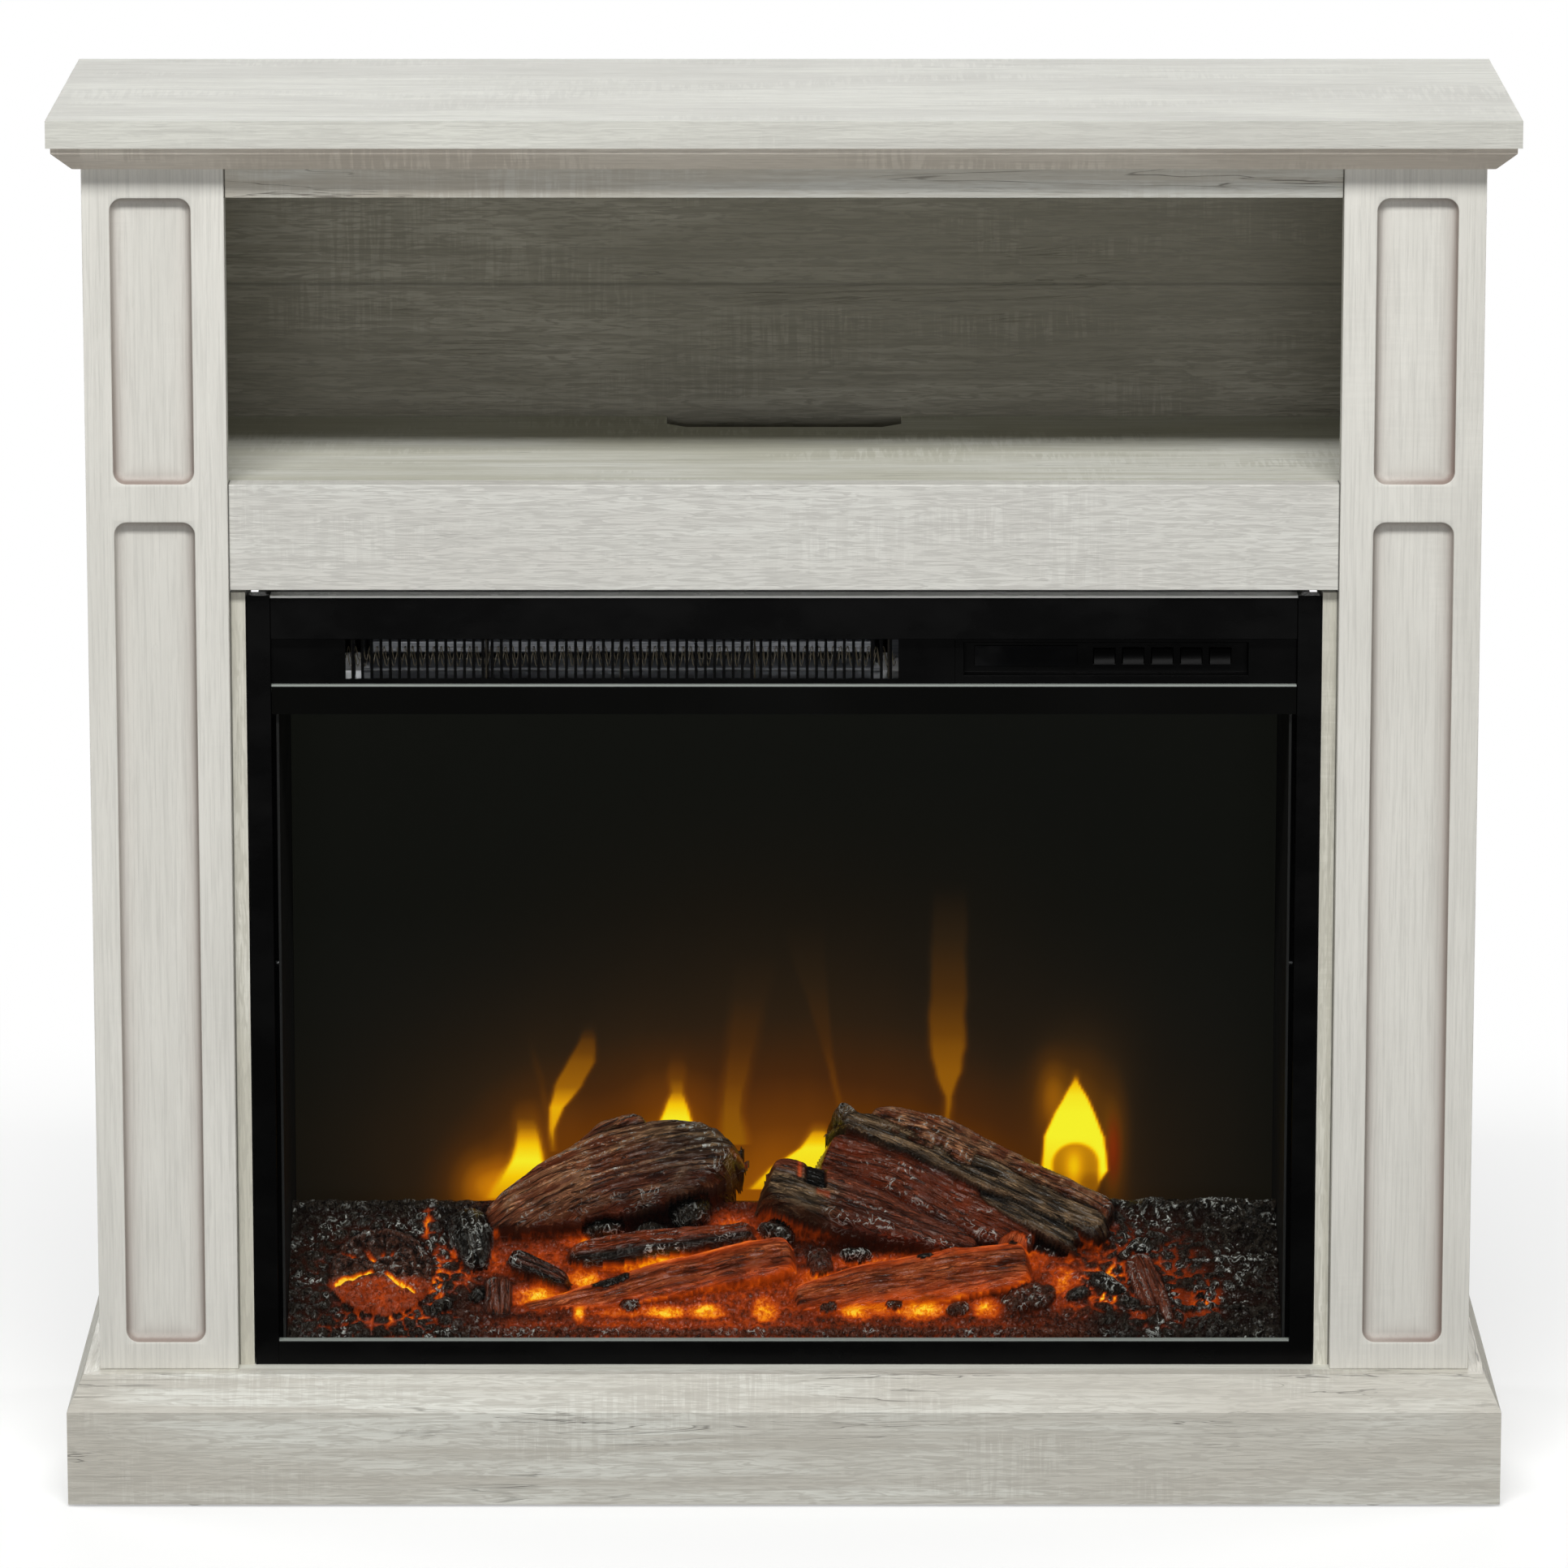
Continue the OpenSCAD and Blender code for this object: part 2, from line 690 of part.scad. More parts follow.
// Side walls and ceiling of the firebox, bent from one sheet
module firebox_liner() color(black) {
  for (s = [0, 1]) mirror([s, 0, 0])
    box(liner_half - sheet_t, liner_half, liner_y, screen_y + 6, base_h + sheet_t,
      ceiling_z + sheet_t);
  box(-liner_half, liner_half, liner_y, screen_y + 6, ceiling_z, ceiling_z + sheet_t);
}

module flame_screen() color([0.08, 0.08, 0.07])
  box(-liner_half + sheet_t + 0.2, liner_half - sheet_t - 0.2, screen_y, screen_y + screen_t,
    bed_floor_z, ceiling_z - 0.2);

// A tapered log from one end point to the other
module log_piece(from, to, r1, r2) {
  v = to - from;
  translate(from) rotate([0, acos(v[2] / norm(v)), atan2(v[1], v[0])])
    cylinder(r1 = r1, r2 = r2, h = norm(v));
}

// (y, z) outlines, drawn inwards from the outer face by t: the bed's sloping
// sides, and the taller heap in its middle that carries the upper logs
function bed_outline(t, brow_y, brow_z, back_z) = [
  [bed_front_y + t, bed_floor_z - (t > 0 ? 1 : 0)], [bed_front_y + t, glass_z + 4 - t / 2],
  [brow_y, brow_z - t], [bed_back_y - 20, back_z - t], [bed_back_y - t, back_z - 12 - t],
  [bed_back_y - t, bed_floor_z - (t > 0 ? 1 : 0)]
];

module bed_form(t) {
  bed_half = liner_half - sheet_t - 0.5;
  along_x(-bed_half + t, bed_half - t)
    polygon(bed_outline(t, bed_back_y - 40, bed_back_z - 12, bed_back_z));
  along_x(-heap_half + t, heap_half - t)
    polygon(bed_outline(t, bed_back_y - 44, bed_back_z + 10, bed_back_z + 14));
}

// One moulded shell: a sloped bed of coals with logs on it, hollow underneath
module log_bed() color([0.3, 0.15, 0.08]) difference() {
  union() {
    bed_form(0);
    log_piece([-172, -34, 160], [-30, -36, 192], 14, 22);
    log_piece([40, -26, 206], [186, -36, 160], 20, 12);
    log_piece([4, -48, 174], [108, -52, 148], 17, 9);
    log_piece([-131, -58, 130], [-20, -52, 150], 8, 9);
    log_piece([-161, -78, 106], [8, -70, 128], 9, 10);
    log_piece([8, -76, 108], [150, -70, 124], 12, 12);
  }
  bed_form(bed_t);
}

module led_strip(half, y0, y1, z, count) {
  box(-half, half, y0, y1, z, z + pcb_t);
  for (i = [0:count - 1])
    translate([-half + (i + 0.5) * 2 * half / count, (y0 + y1) / 2, z + pcb_t - eps])
      cylinder(r = 2.5, h = 3);
}

module ember_led_board() color(led_white)
  led_strip(250, -72, -48, base_h + sheet_t, 12);

module flame_led_board() color(led_white) {
  led_strip(245, spindle_y - 10, spindle_y + 10, base_h + sheet_t + led_post_h, 16);
  for (x = [-235, 0, 235]) translate([x, spindle_y, base_h + sheet_t])
    cylinder(r = 3, h = led_post_h + eps);
}

// A sheet with flame-shaped openings that the light is thrown through
module flame_mask() color([0.6, 0.6, 0.6]) difference() {
  box(-bracket_x + 4, bracket_x - 4, mask_y, mask_y + 0.8, base_h + sheet_t, mask_top);
  for (i = [0:mask_flames - 1])
    translate([mask_pitch * (i - (mask_flames - 1) / 2), 0, 112]) mirror([i % 2, 0, 0])
    along_y(mask_y - 1, mask_y + 2) polygon([
      [-14, 0], [14, 0], [22, 40], [8, 80], [12, 150 + 20 * (i % 3)], [-6, 90],
      [-2, 55], [-18, 30]
    ]);
}

// A rod with reflecting flags set round it in a slow spiral
module flame_spindle() color(steel) {
  rod_x(-bracket_x - 8, bracket_x + 11, spindle_y, spindle_z, spindle_r);
  for (i = [0:8], k = [0:2])
    translate([-flag_half + 2 + i * flag_pitch, spindle_y, spindle_z])
      rotate([i * 27 + k * 120, 0, 0]) translate([0, 0, -flag_t / 2])
        cube([flag_w, flag_r, flag_t]);
}

module spindle_brackets() color(steel) for (s = [0, 1]) mirror([s, 0, 0]) difference() {
  union() {
    box(bracket_x - 2, bracket_x, spindle_y - 12, spindle_y + 12, base_h + sheet_t,
      spindle_z + 14);
    box(bracket_x - 12, bracket_x, spindle_y - 12, spindle_y + 12, base_h + sheet_t,
      base_h + 2 * sheet_t);
  }
  rod_x(bracket_x - 3, bracket_x + 1, spindle_y, spindle_z, spindle_r + running_gap);
}

module flame_motor() color(steel) difference() {
  union() {
    rod_x(bracket_x, bracket_x + 18, spindle_y, spindle_z, 17);
    box(bracket_x + 4, bracket_x + 14, spindle_y - 8, spindle_y + 8, spindle_z + 15,
      spindle_z + 22);
  }
  rod_x(bracket_x - 1, bracket_x + 12, spindle_y, spindle_z, spindle_r + running_gap);
}

// -------------------------------------------------------------------- Heater

// A sheet duct from the blower to the outlet grille, open at both ends
module heater_duct() color(steel) difference() {
  box(duct_x0, duct_x1, duct_y, duct_back, duct_z0, duct_z1);
  box(duct_x0 + 1, duct_x1 - 1, duct_y - 1, duct_back + 1, duct_z0 + 1, duct_z1 - 1);
}

module coil_runs(r) for (y = coil_y, z = coil_z) rod_x(duct_x0 + 4, duct_x1 - 4, y, z, r);

// The outer shape of the four resistance-wire coils
module heating_coil() color([0.5, 0.45, 0.4]) coil_runs(coil_r);

module mica_frame() color([0.75, 0.7, 0.55]) difference() {
  for (i = [0:4]) {
    x = duct_x0 + 8 + i * (duct_x1 - duct_x0 - 17) / 4;
    box(x, x + 1, duct_y + 6, duct_back - 8, duct_z0 + 1, duct_z1 - 1);
  }
  coil_runs(coil_r);
}

module thermal_cutout() color([0.2, 0.2, 0.2]) {
  rod_x(duct_x1, duct_x1 + 5, duct_y + 25, blower_z, 7);
  rod_x(duct_x1 + 5 - eps, duct_x1 + 8, duct_y + 25, blower_z, 4);
}

// The scroll round the impeller, open at the rear for intake air
module blower_housing() color(steel) difference() {
  union() {
    rod_x(scroll_x0, scroll_x1, blower_y, blower_z, scroll_r + scroll_t);
    box(scroll_x0, scroll_x1, duct_back, blower_y, blower_z - scroll_r,
      blower_z + scroll_r);
  }
  rod_x(scroll_x0 + scroll_t, scroll_x1 - scroll_t, blower_y, blower_z, scroll_r);
  box(scroll_x0 + scroll_t, scroll_x1 - scroll_t, duct_back - 1, blower_y,
    blower_z - scroll_r + scroll_t, blower_z + scroll_r - scroll_t);
  box(scroll_x0 + scroll_t, scroll_x1 - scroll_t, blower_y + 12, blower_y + 40,
    blower_z - 12, blower_z + 40);
  rod_x(scroll_x0 - 1, scroll_x1 + 1, blower_y, blower_z, spindle_r + running_gap);
}

module blower_impeller() color([0.3, 0.3, 0.32]) {
  x0 = scroll_x0 + 4;
  x1 = scroll_x1 - 4;
  rod_x(scroll_x0 - 4, scroll_x1 + 24, blower_y, blower_z, spindle_r);
  for (i = [0:3]) {
    x = x0 + i * (x1 - x0 - 1.2) / 3;
    rod_x(x, x + 1.2, blower_y, blower_z, impeller_r);
  }
  for (i = [0:blade_count - 1]) translate([x0 + 0.4, blower_y, blower_z])
    rotate([i * 360 / blade_count, 0, 0]) translate([0, impeller_r - 2.6, 0])
      rotate([30, 0, 0]) translate([0, -2, -0.4]) cube([x1 - x0 - 0.8, 4, 0.8]);
}

module blower_motor() color([0.35, 0.35, 0.38]) difference() {
  union() {
    box(scroll_x1 + 4, scroll_x1 + 20, blower_y - 21, blower_y + 21, blower_z - 21,
      blower_z + 21);
    box(scroll_x1 + 1, scroll_x1 + 23, blower_y + 15, blower_y + 27, blower_z - 14,
      blower_z + 14);
    rod_x(scroll_x1, scroll_x1 + 28, blower_y, blower_z, 9);
  }
  rod_x(scroll_x1 - 1, scroll_x1 + 25, blower_y, blower_z, spindle_r + running_gap);
}

mantel_top();
crown_front();
crown_left();
crown_right();
top_rail();
pilaster_left();
pilaster_right();
side_panel_left();
side_panel_right();
shelf_board();
apron();
back_panel();
jamb_left();
jamb_right();
base_front();
base_left();
base_right();
base_board();
base_back_rail();
floor_glides();
cam_locks();
cam_bolts();
wall_brackets();
insert_brackets();
case_wrapper();
top_cover();
rear_cover();
trim_left();
trim_right();
trim_bottom();
top_fascia();
outlet_grille();
control_bezel();
display_window();
glass_front();
firebox_liner();
flame_screen();
log_bed();
ember_led_board();
flame_mask();
flame_spindle();
spindle_brackets();
flame_motor();
flame_led_board();
heater_duct();
heating_coil();
mica_frame();
thermal_cutout();
blower_housing();
blower_impeller();
blower_motor();
control_board();
relay_board();
cord_gland();
screws();
button(0);  // button_power
button(1);  // button_heat
button(2);  // button_flame
button(3);  // button_timer
button(4);  // button_temperature
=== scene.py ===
# The looks of the electric fireplace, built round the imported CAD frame.
# Front faces -Y, +X is to the right of someone facing it, +Z is up. Lengths are in metres,
# and a value whose name or comment says mm is in millimetres.
import math

import bmesh
import bpy
import numpy as np
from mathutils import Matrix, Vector


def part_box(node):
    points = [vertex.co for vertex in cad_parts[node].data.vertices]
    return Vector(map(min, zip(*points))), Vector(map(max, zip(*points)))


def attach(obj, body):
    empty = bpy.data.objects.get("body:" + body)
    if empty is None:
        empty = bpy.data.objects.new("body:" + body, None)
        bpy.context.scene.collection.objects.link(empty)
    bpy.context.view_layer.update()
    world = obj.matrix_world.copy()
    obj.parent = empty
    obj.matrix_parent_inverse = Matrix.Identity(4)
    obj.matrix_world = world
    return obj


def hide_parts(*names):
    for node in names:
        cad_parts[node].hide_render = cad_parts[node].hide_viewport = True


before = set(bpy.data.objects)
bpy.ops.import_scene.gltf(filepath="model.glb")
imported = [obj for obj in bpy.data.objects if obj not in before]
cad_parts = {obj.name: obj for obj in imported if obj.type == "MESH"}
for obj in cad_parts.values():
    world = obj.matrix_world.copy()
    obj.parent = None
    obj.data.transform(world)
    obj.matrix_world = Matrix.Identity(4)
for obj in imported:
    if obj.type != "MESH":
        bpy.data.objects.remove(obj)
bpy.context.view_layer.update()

MM = 0.001
scene = bpy.context.scene


def srgb(red, green, blue):
    """A colour as 0 to 255 screen values, turned into the linear values that shaders use."""
    def linear(c):
        c = c / 255
        return c / 12.92 if c <= 0.04045 else ((c + 0.055) / 1.055) ** 2.4
    return (linear(red), linear(green), linear(blue), 1.0)


# ------------------------------------------------------------------ Materials

class Look:
    """Writes a node material. Each method adds nodes and gives back an output socket."""

    def __init__(self, name):
        self.material = bpy.data.materials.new(name)
        self.material.use_nodes = True
        self.nodes = self.material.node_tree.nodes
        self.links = self.material.node_tree.links
        self.nodes.clear()
        self.place = self.add("ShaderNodeTexCoord", output="Object")

    def add(self, kind, inputs=(), output=0, **settings):
        """Adds a node and gives one output. Its inputs are listed in order, or by name."""
        node = self.nodes.new(kind)
        for key, value in settings.items():
            setattr(node, key, value)
        for key, value in inputs.items() if isinstance(inputs, dict) else enumerate(inputs):
            socket = node.inputs[key]
            if isinstance(value, bpy.types.NodeSocket):
                self.links.new(value, socket)
            else:
                socket.default_value = tuple(value)[:3] if socket.type == "VECTOR" else value
        return node.outputs[output]

    def math(self, operation, a, b=0.0):
        return self.add("ShaderNodeMath", [a, b], operation=operation)

    def sum(self, *terms):
        """Adds up (socket, weight) pairs, in order."""
        total, *others = (self.math("MULTIPLY", *term) for term in terms)
        for other in others:
            total = self.math("ADD", total, other)
        return total

    def product(self, first, *others):
        for other in others:
            first = self.math("MULTIPLY", first, other)
        return first

    def away_from(self, value, centre):
        """How far a value is from a centre, whichever way."""
        return self.math("ABSOLUTE", self.math("SUBTRACT", value, centre))

    def stretch(self, scale, offset=0.0):
        """The place in the object, in metres, times scale for each axis."""
        shift = (offset, offset * 1.7, offset * 2.3)
        return self.add("ShaderNodeVectorMath", [self.place, scale, shift],
                        operation="MULTIPLY_ADD")

    def noise(self, scale, offset=0.0, detail=3.0, roughness=0.55, distortion=0.0):
        return self.noise_at(self.stretch(scale, offset), detail, roughness, distortion)

    def noise_at(self, place, detail, roughness, distortion):
        return self.add("ShaderNodeTexNoise", {
            "Vector": place, "Scale": 1.0, "Detail": detail, "Roughness": roughness,
            "Distortion": distortion}, "Fac")

    def cells(self, scale, offset=0.0, feature="F1", output="Distance"):
        return self.add("ShaderNodeTexVoronoi", {"Vector": self.stretch(scale, offset), "Scale": 1.0},
                        output, feature=feature)

    def ramp(self, value, low, high, start=0.0, end=1.0):
        """Goes smoothly from start to end as value goes from low to high."""
        return self.add("ShaderNodeMapRange", [value, low, high, start, end],
                        interpolation_type="SMOOTHSTEP")

    def line(self, value, width):
        """1 where value crosses a half, falling to 0 a width away: thin wandering lines."""
        return self.ramp(self.away_from(value, 0.5), 0.0, width, 1.0, 0.0)

    def mix(self, factor, a, b, blend="MIX"):
        return self.add("ShaderNodeMix", {"Factor": factor, 6: a, 7: b}, 2, data_type="RGBA",
                        blend_type=blend)

    def tinted(self, colour, tint):
        return self.mix(1.0, colour, tint, "MULTIPLY")

    def colours(self, value, stops):
        """A colour ramp over (place, colour) stops."""
        colour = self.add("ShaderNodeValToRGB", [value])
        elements = colour.node.color_ramp.elements
        while len(elements) < len(stops):
            elements.new(0.5)
        for element, (place, shade) in zip(elements, stops):
            element.position = place
            element.color = shade
        return colour

    def attribute(self, name, output="Fac"):
        return self.add("ShaderNodeAttribute", output=output, attribute_name=name)

    def axis(self, index):
        return self.add("ShaderNodeSeparateXYZ", [self.place], index)

    def bump(self, height, distance, strength):
        return self.add("ShaderNodeBump", {
            "Strength": strength, "Distance": distance, "Height": height})

    def principled(self, **inputs):
        """A Principled shader; an input is named with _ for each space."""
        return self.add("ShaderNodeBsdfPrincipled",
                        {key.replace("_", " "): value for key, value in inputs.items()})

    def mix_shaders(self, share, first, second):
        return self.add("ShaderNodeMixShader", [share, first, second])

    def output(self, shader):
        out = self.nodes.new("ShaderNodeOutputMaterial")
        self.links.new(shader, out.inputs["Surface"])
        return self.material


def grain_scale(grain, along, across):
    """Scales per metre with one value along the grain's axis and one across it."""
    return tuple(along if i == grain else across for i in range(3))


def whitewash(name, grain, seed, light, dark, streaks=0.5, ticks=0.4, knots=0.0,
              ridges=0.25, seams=(), glaze=False, joint_shade_end=0.0):
    """Whitewashed laminate whose grain runs along axis 0, 1 or 2."""
    look = Look(name)

    def scale(along, across):
        return grain_scale(grain, along, across)

    def shade(colour, amount):
        return tuple(c * amount for c in colour[:3]) + (1.0,)

    # layers of the print: scales per metre along and across the grain, seed, and noise settings
    patches, bands, hairs, waves, saw, saw_area, crack, crack_area = (
        look.noise(scale(along, across), seed + shift, *settings)
        for along, across, shift, *settings in [
            (3.2, 13, 0, 3, 0.55, 0.6), (2.2, 95, 3, 4, 0.62, 0.8), (16, 720, 5, 4, 0.7, 0.3),
            (48, 480, 7, 2, 0.5, 1.4), (300, 21, 11, 3, 0.55, 0.5), (6, 20, 13, 4, 0.65),
            (2.6, 58, 17, 4, 0.6, 1.5), (5, 32, 19, 2)])

    colour = look.mix(look.ramp(patches, 0.36, 0.64), light, dark)
    colour = look.mix(look.ramp(bands, 0.44, 0.64, 0.0, streaks), colour, shade(dark, 0.93))
    sawn = look.ramp(saw_area, 0.48, 0.66)
    tick = look.product(look.ramp(saw, 0.44, 0.60, -1.0, 1.0), sawn, ticks)
    colour = look.mix(look.math("MAXIMUM", tick, 0.0), colour, shade(light, 1.07))
    colour = look.mix(look.math("MAXIMUM", look.math("MULTIPLY", tick, -1.0), 0.0), colour,
                      shade(dark, 0.86))
    colour = look.mix(look.ramp(hairs, 0.44, 0.66, 0.0, 0.36), colour, shade(dark, 0.70))
    colour = look.mix(look.ramp(waves, 0.44, 0.62, 0.0, ridges), colour, shade(dark, 0.80))
    cracks = look.math("MULTIPLY", look.line(crack, 0.010), look.ramp(crack_area, 0.52, 0.62))
    if knots:
        cracks = look.math("MULTIPLY", cracks, knots)
        colour = look.mix(cracks, colour, shade(dark, 0.36))
    for height in seams:
        away = look.away_from(look.axis(2), height)
        colour = look.mix(look.ramp(away, 0.0004, 0.0014, 0.45, 0.0), colour, shade(dark, 0.35))
    # painted shade: over the last mm before the board's end, where the boards meet the pilasters, the board
    # goes nearly black in place of the shadow in the joint
    if joint_shade_end:
        away = look.math("ABSOLUTE", look.axis(0))
        colour = look.mix(look.ramp(away, joint_shade_end - 0.0011, joint_shade_end - 0.0003, 0.0, 0.9), colour,
                          shade(dark, 0.12))
    if glaze:
        colour = look.mix(look.attribute("glaze"), colour, srgb(141, 126, 118))
    relief = look.sum((waves, 0.6), (hairs, 0.4), (cracks, -0.6), (tick, 0.12))
    rough = look.ramp(hairs, 0.3, 0.8, 0.46, 0.62)
    return look.output(look.principled(
        Base_Color=colour, Roughness=rough, Specular_IOR_Level=0.3,
        Normal=look.bump(relief, 0.0005, 0.3 + 0.5 * ridges)))


CREAM = srgb(219, 219, 211)
MAUVE = srgb(203, 201, 194)
OLIVE = srgb(196, 195, 180)

BOARD_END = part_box("apron")[1].x

BASE_PAINT = srgb(217, 217, 208), srgb(196, 192, 181)
CROWN_PAINT = srgb(228, 220, 207), srgb(214, 204, 190)
ALONG_X, ALONG_Y, ALONG_Z = 0, 1, 2

wood_top = whitewash("wood_top", ALONG_X, 1.0, srgb(213, 213, 204), srgb(199, 198, 190), 0.45, 0.3,
                     0.35, 0.3)
wood_crown = whitewash("wood_crown", ALONG_X, 4.0, *CROWN_PAINT, 0.4, 0.6)
wood_crown_side = whitewash("wood_crown_side", ALONG_Y, 5.0, *CROWN_PAINT, 0.4, 0.6)
wood_rail = whitewash("wood_rail", ALONG_X, 7.0, CREAM, srgb(200, 193, 178), 0.7, 0.3, 0.9,
                      joint_shade_end=BOARD_END)
wood_apron = whitewash("wood_apron", ALONG_X, 9.5, srgb(216, 216, 209), srgb(207, 205, 198), 0.45,
                       0.3, 0.2, 0.75, joint_shade_end=BOARD_END)
wood_shelf = whitewash("wood_shelf", ALONG_X, 12.0, CREAM, OLIVE, 0.8, 0.5, 0.4)
# the back panel's print is darker than the other boards: painted shade, for the shade the mantel top throws
# into the shelf
wood_back_shaded = whitewash("wood_back_shaded", ALONG_X, 15.0, srgb(160, 156, 142), srgb(134, 130, 115), 0.8,
                      0.4, 0.5, 0.7, seams=(0.693,))
wood_stile = whitewash("wood_stile", ALONG_Z, 18.0, srgb(222, 220, 212), srgb(213, 211, 203), 0.3,
                       0.1, 0.0, 0.1, glaze=True)
wood_side = whitewash("wood_side", ALONG_Z, 21.0, CREAM, MAUVE, 0.55, 0.5, 0.4)
wood_jamb = whitewash("wood_jamb", ALONG_Z, 24.0, srgb(219, 217, 206), srgb(198, 195, 181), 0.9,
                      0.2, 0.0, 0.6, joint_shade_end=BOARD_END)
wood_base = whitewash("wood_base", ALONG_X, 27.0, *BASE_PAINT, 0.9, 0.35, 0.9, 0.6)
wood_base_side = whitewash("wood_base_side", ALONG_Y, 29.0, *BASE_PAINT, 0.9, 0.35, 0.9, 0.6)


def chipboard():
    """Bare particle board: pressed flakes of several browns, laminated on its top face."""
    look = Look("chipboard")
    laminate = look.ramp(look.axis(2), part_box("base_board")[1].z - 0.0006,
                         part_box("base_board")[1].z - 0.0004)
    tone = look.add("ShaderNodeSeparateColor", [look.cells((260, 260, 420), 2.0, output="Color")])
    colour = look.colours(tone, [
        (0.0, srgb(120, 88, 52)), (0.45, srgb(176, 138, 92)), (1.0, srgb(214, 184, 138))])
    dust = look.noise((900, 900, 900), 3.0, 2)
    colour = look.mix(look.ramp(dust, 0.4, 0.7, 0.0, 0.35), colour, srgb(110, 80, 50))
    print_grain = look.noise((14, 620, 620), 2.0, 4)
    printed = look.mix(look.ramp(print_grain, 0.4, 0.7), srgb(207, 207, 197), srgb(188, 186, 174))
    return look.output(look.principled(
        Base_Color=look.mix(laminate, colour, printed), Roughness=look.ramp(dust, 0.3, 0.7, 0.75, 0.9),
        Normal=look.bump(tone.node.outputs[1], 0.0003, 0.7)))


def sheet_metal(name, colour, dull, rough, brushed=None, spots=0.0):
    """Plated or coated sheet: brushed along an axis, or spangled, with a little wear."""
    look = Look(name)
    scale = (60, 60, 60) if brushed is None else grain_scale(brushed, 25, 1400)
    lines = look.noise(scale, 1.3, 4)
    cloud = look.noise((34, 34, 34), 2.1, 4, 0.6)
    shade = look.mix(look.ramp(lines, 0.3, 0.7), colour, dull)
    if spots:
        spangle = look.add("ShaderNodeRGBToBW", [look.cells((140, 140, 140), 3.3, output="Color")])
        shade = look.mix(look.math("MULTIPLY", spangle, spots), shade, dull)
    return look.output(look.principled(
        Base_Color=look.mix(look.ramp(cloud, 0.5, 0.75, 0.0, 0.5), shade, dull),
        Metallic=1.0, Roughness=look.ramp(cloud, 0.3, 0.75, rough, rough + 0.16),
        Normal=look.bump(lines, 0.00006, 0.4)))


def coated(name, colour, worn, rough, grain=700.0, depth=0.00008, gloss=0.3, dust=0.25,
           highlight_above=None):
    """Paint, powder coat or moulded plastic: a fine pebble grain, dust and rubbed patches. Above a given
    height the top edge is painted near-white, a painted highlight where the edge catches the light."""
    look = Look(name)
    pebble = look.noise((grain, grain, grain), 1.1, 2, 0.5)
    cloud = look.noise((18, 18, 30), 5.5, 5, 0.6)
    colour = look.mix(look.ramp(cloud, 0.48, 0.72, 0.0, dust), colour, worn)
    if highlight_above is not None:
        # a near-white line along the top edge, above this height: painted highlight
        edge_highlight = look.ramp(look.axis(2), highlight_above - 0.0001, highlight_above)
        colour = look.mix(edge_highlight, colour, srgb(236, 236, 232))
    return look.output(look.principled(
        Base_Color=colour, Roughness=look.ramp(cloud, 0.35, 0.7, rough, rough + 0.12),
        Specular_IOR_Level=gloss, Normal=look.bump(pebble, depth, 0.6)))


def circuit_board():
    """Green solder mask with faint copper tracks, darker in random patches."""
    look = Look("circuit_board")
    tracks = look.cells((160, 160, 160), 1.0, "DISTANCE_TO_EDGE")
    mask = look.noise((300, 300, 300), 2.0)
    colour = look.mix(look.ramp(tracks, 0.02, 0.07, 0.6, 0.0), srgb(16, 82, 44), srgb(46, 130, 74))
    return look.output(look.principled(
        Base_Color=look.mix(look.ramp(mask, 0.4, 0.8, 0.0, 0.4), colour, srgb(8, 50, 28)),
        Roughness=look.ramp(mask, 0.3, 0.7, 0.28, 0.42), Normal=look.bump(tracks, 0.0001, 0.3)))


def glass():
    """Clear glass with a printed black band across its top, and light grey bands at its top and bottom
    edges: a painted highlight for the light its polished edges catch.
    """
    look = Look("firebox_glass")
    low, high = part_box("glass_front")
    band_h, edge_h = 17.5 * MM, 0.9 * MM
    z = look.axis(2)
    smear = look.noise((9, 9, 5), 3.0, 3)
    clear = look.add("ShaderNodeBsdfTransparent", [(0.97, 0.975, 0.965, 1.0)])
    mirror = look.add("ShaderNodeBsdfGlossy", {
        "Color": (0.6, 0.6, 0.6, 1.0), "Roughness": look.ramp(smear, 0.3, 0.7, 0.02, 0.06)})
    # glass reflects little face on and much at a slant
    facing = look.add("ShaderNodeLayerWeight", output="Facing")
    pane = look.mix_shaders(look.math("ADD", look.math("POWER", facing, 4.0), 0.018), clear,
                            mirror)
    ink = look.principled(Base_Color=srgb(9, 9, 8), Roughness=look.ramp(smear, 0.3, 0.7, 0.1, 0.18),
                          Specular_IOR_Level=0.2)
    band = high.z - band_h
    printed = look.mix_shaders(look.ramp(z, band - 0.0002, band + 0.0002), pane, ink)
    # the top and bottom 0.9 mm of the pane are light grey: painted highlight on the polished edges
    shine = look.principled(Base_Color=srgb(150, 156, 150), Roughness=look.ramp(smear, 0.3, 0.7, 0.3, 0.4),
                            Specular_IOR_Level=0.5)
    top = look.ramp(z, high.z - edge_h - 0.0001, high.z - edge_h)
    bottom = look.ramp(z, low.z + edge_h, low.z + edge_h + 0.0001, 1.0, 0.0)
    return look.output(look.mix_shaders(look.math("MAXIMUM", top, bottom), printed, shine))


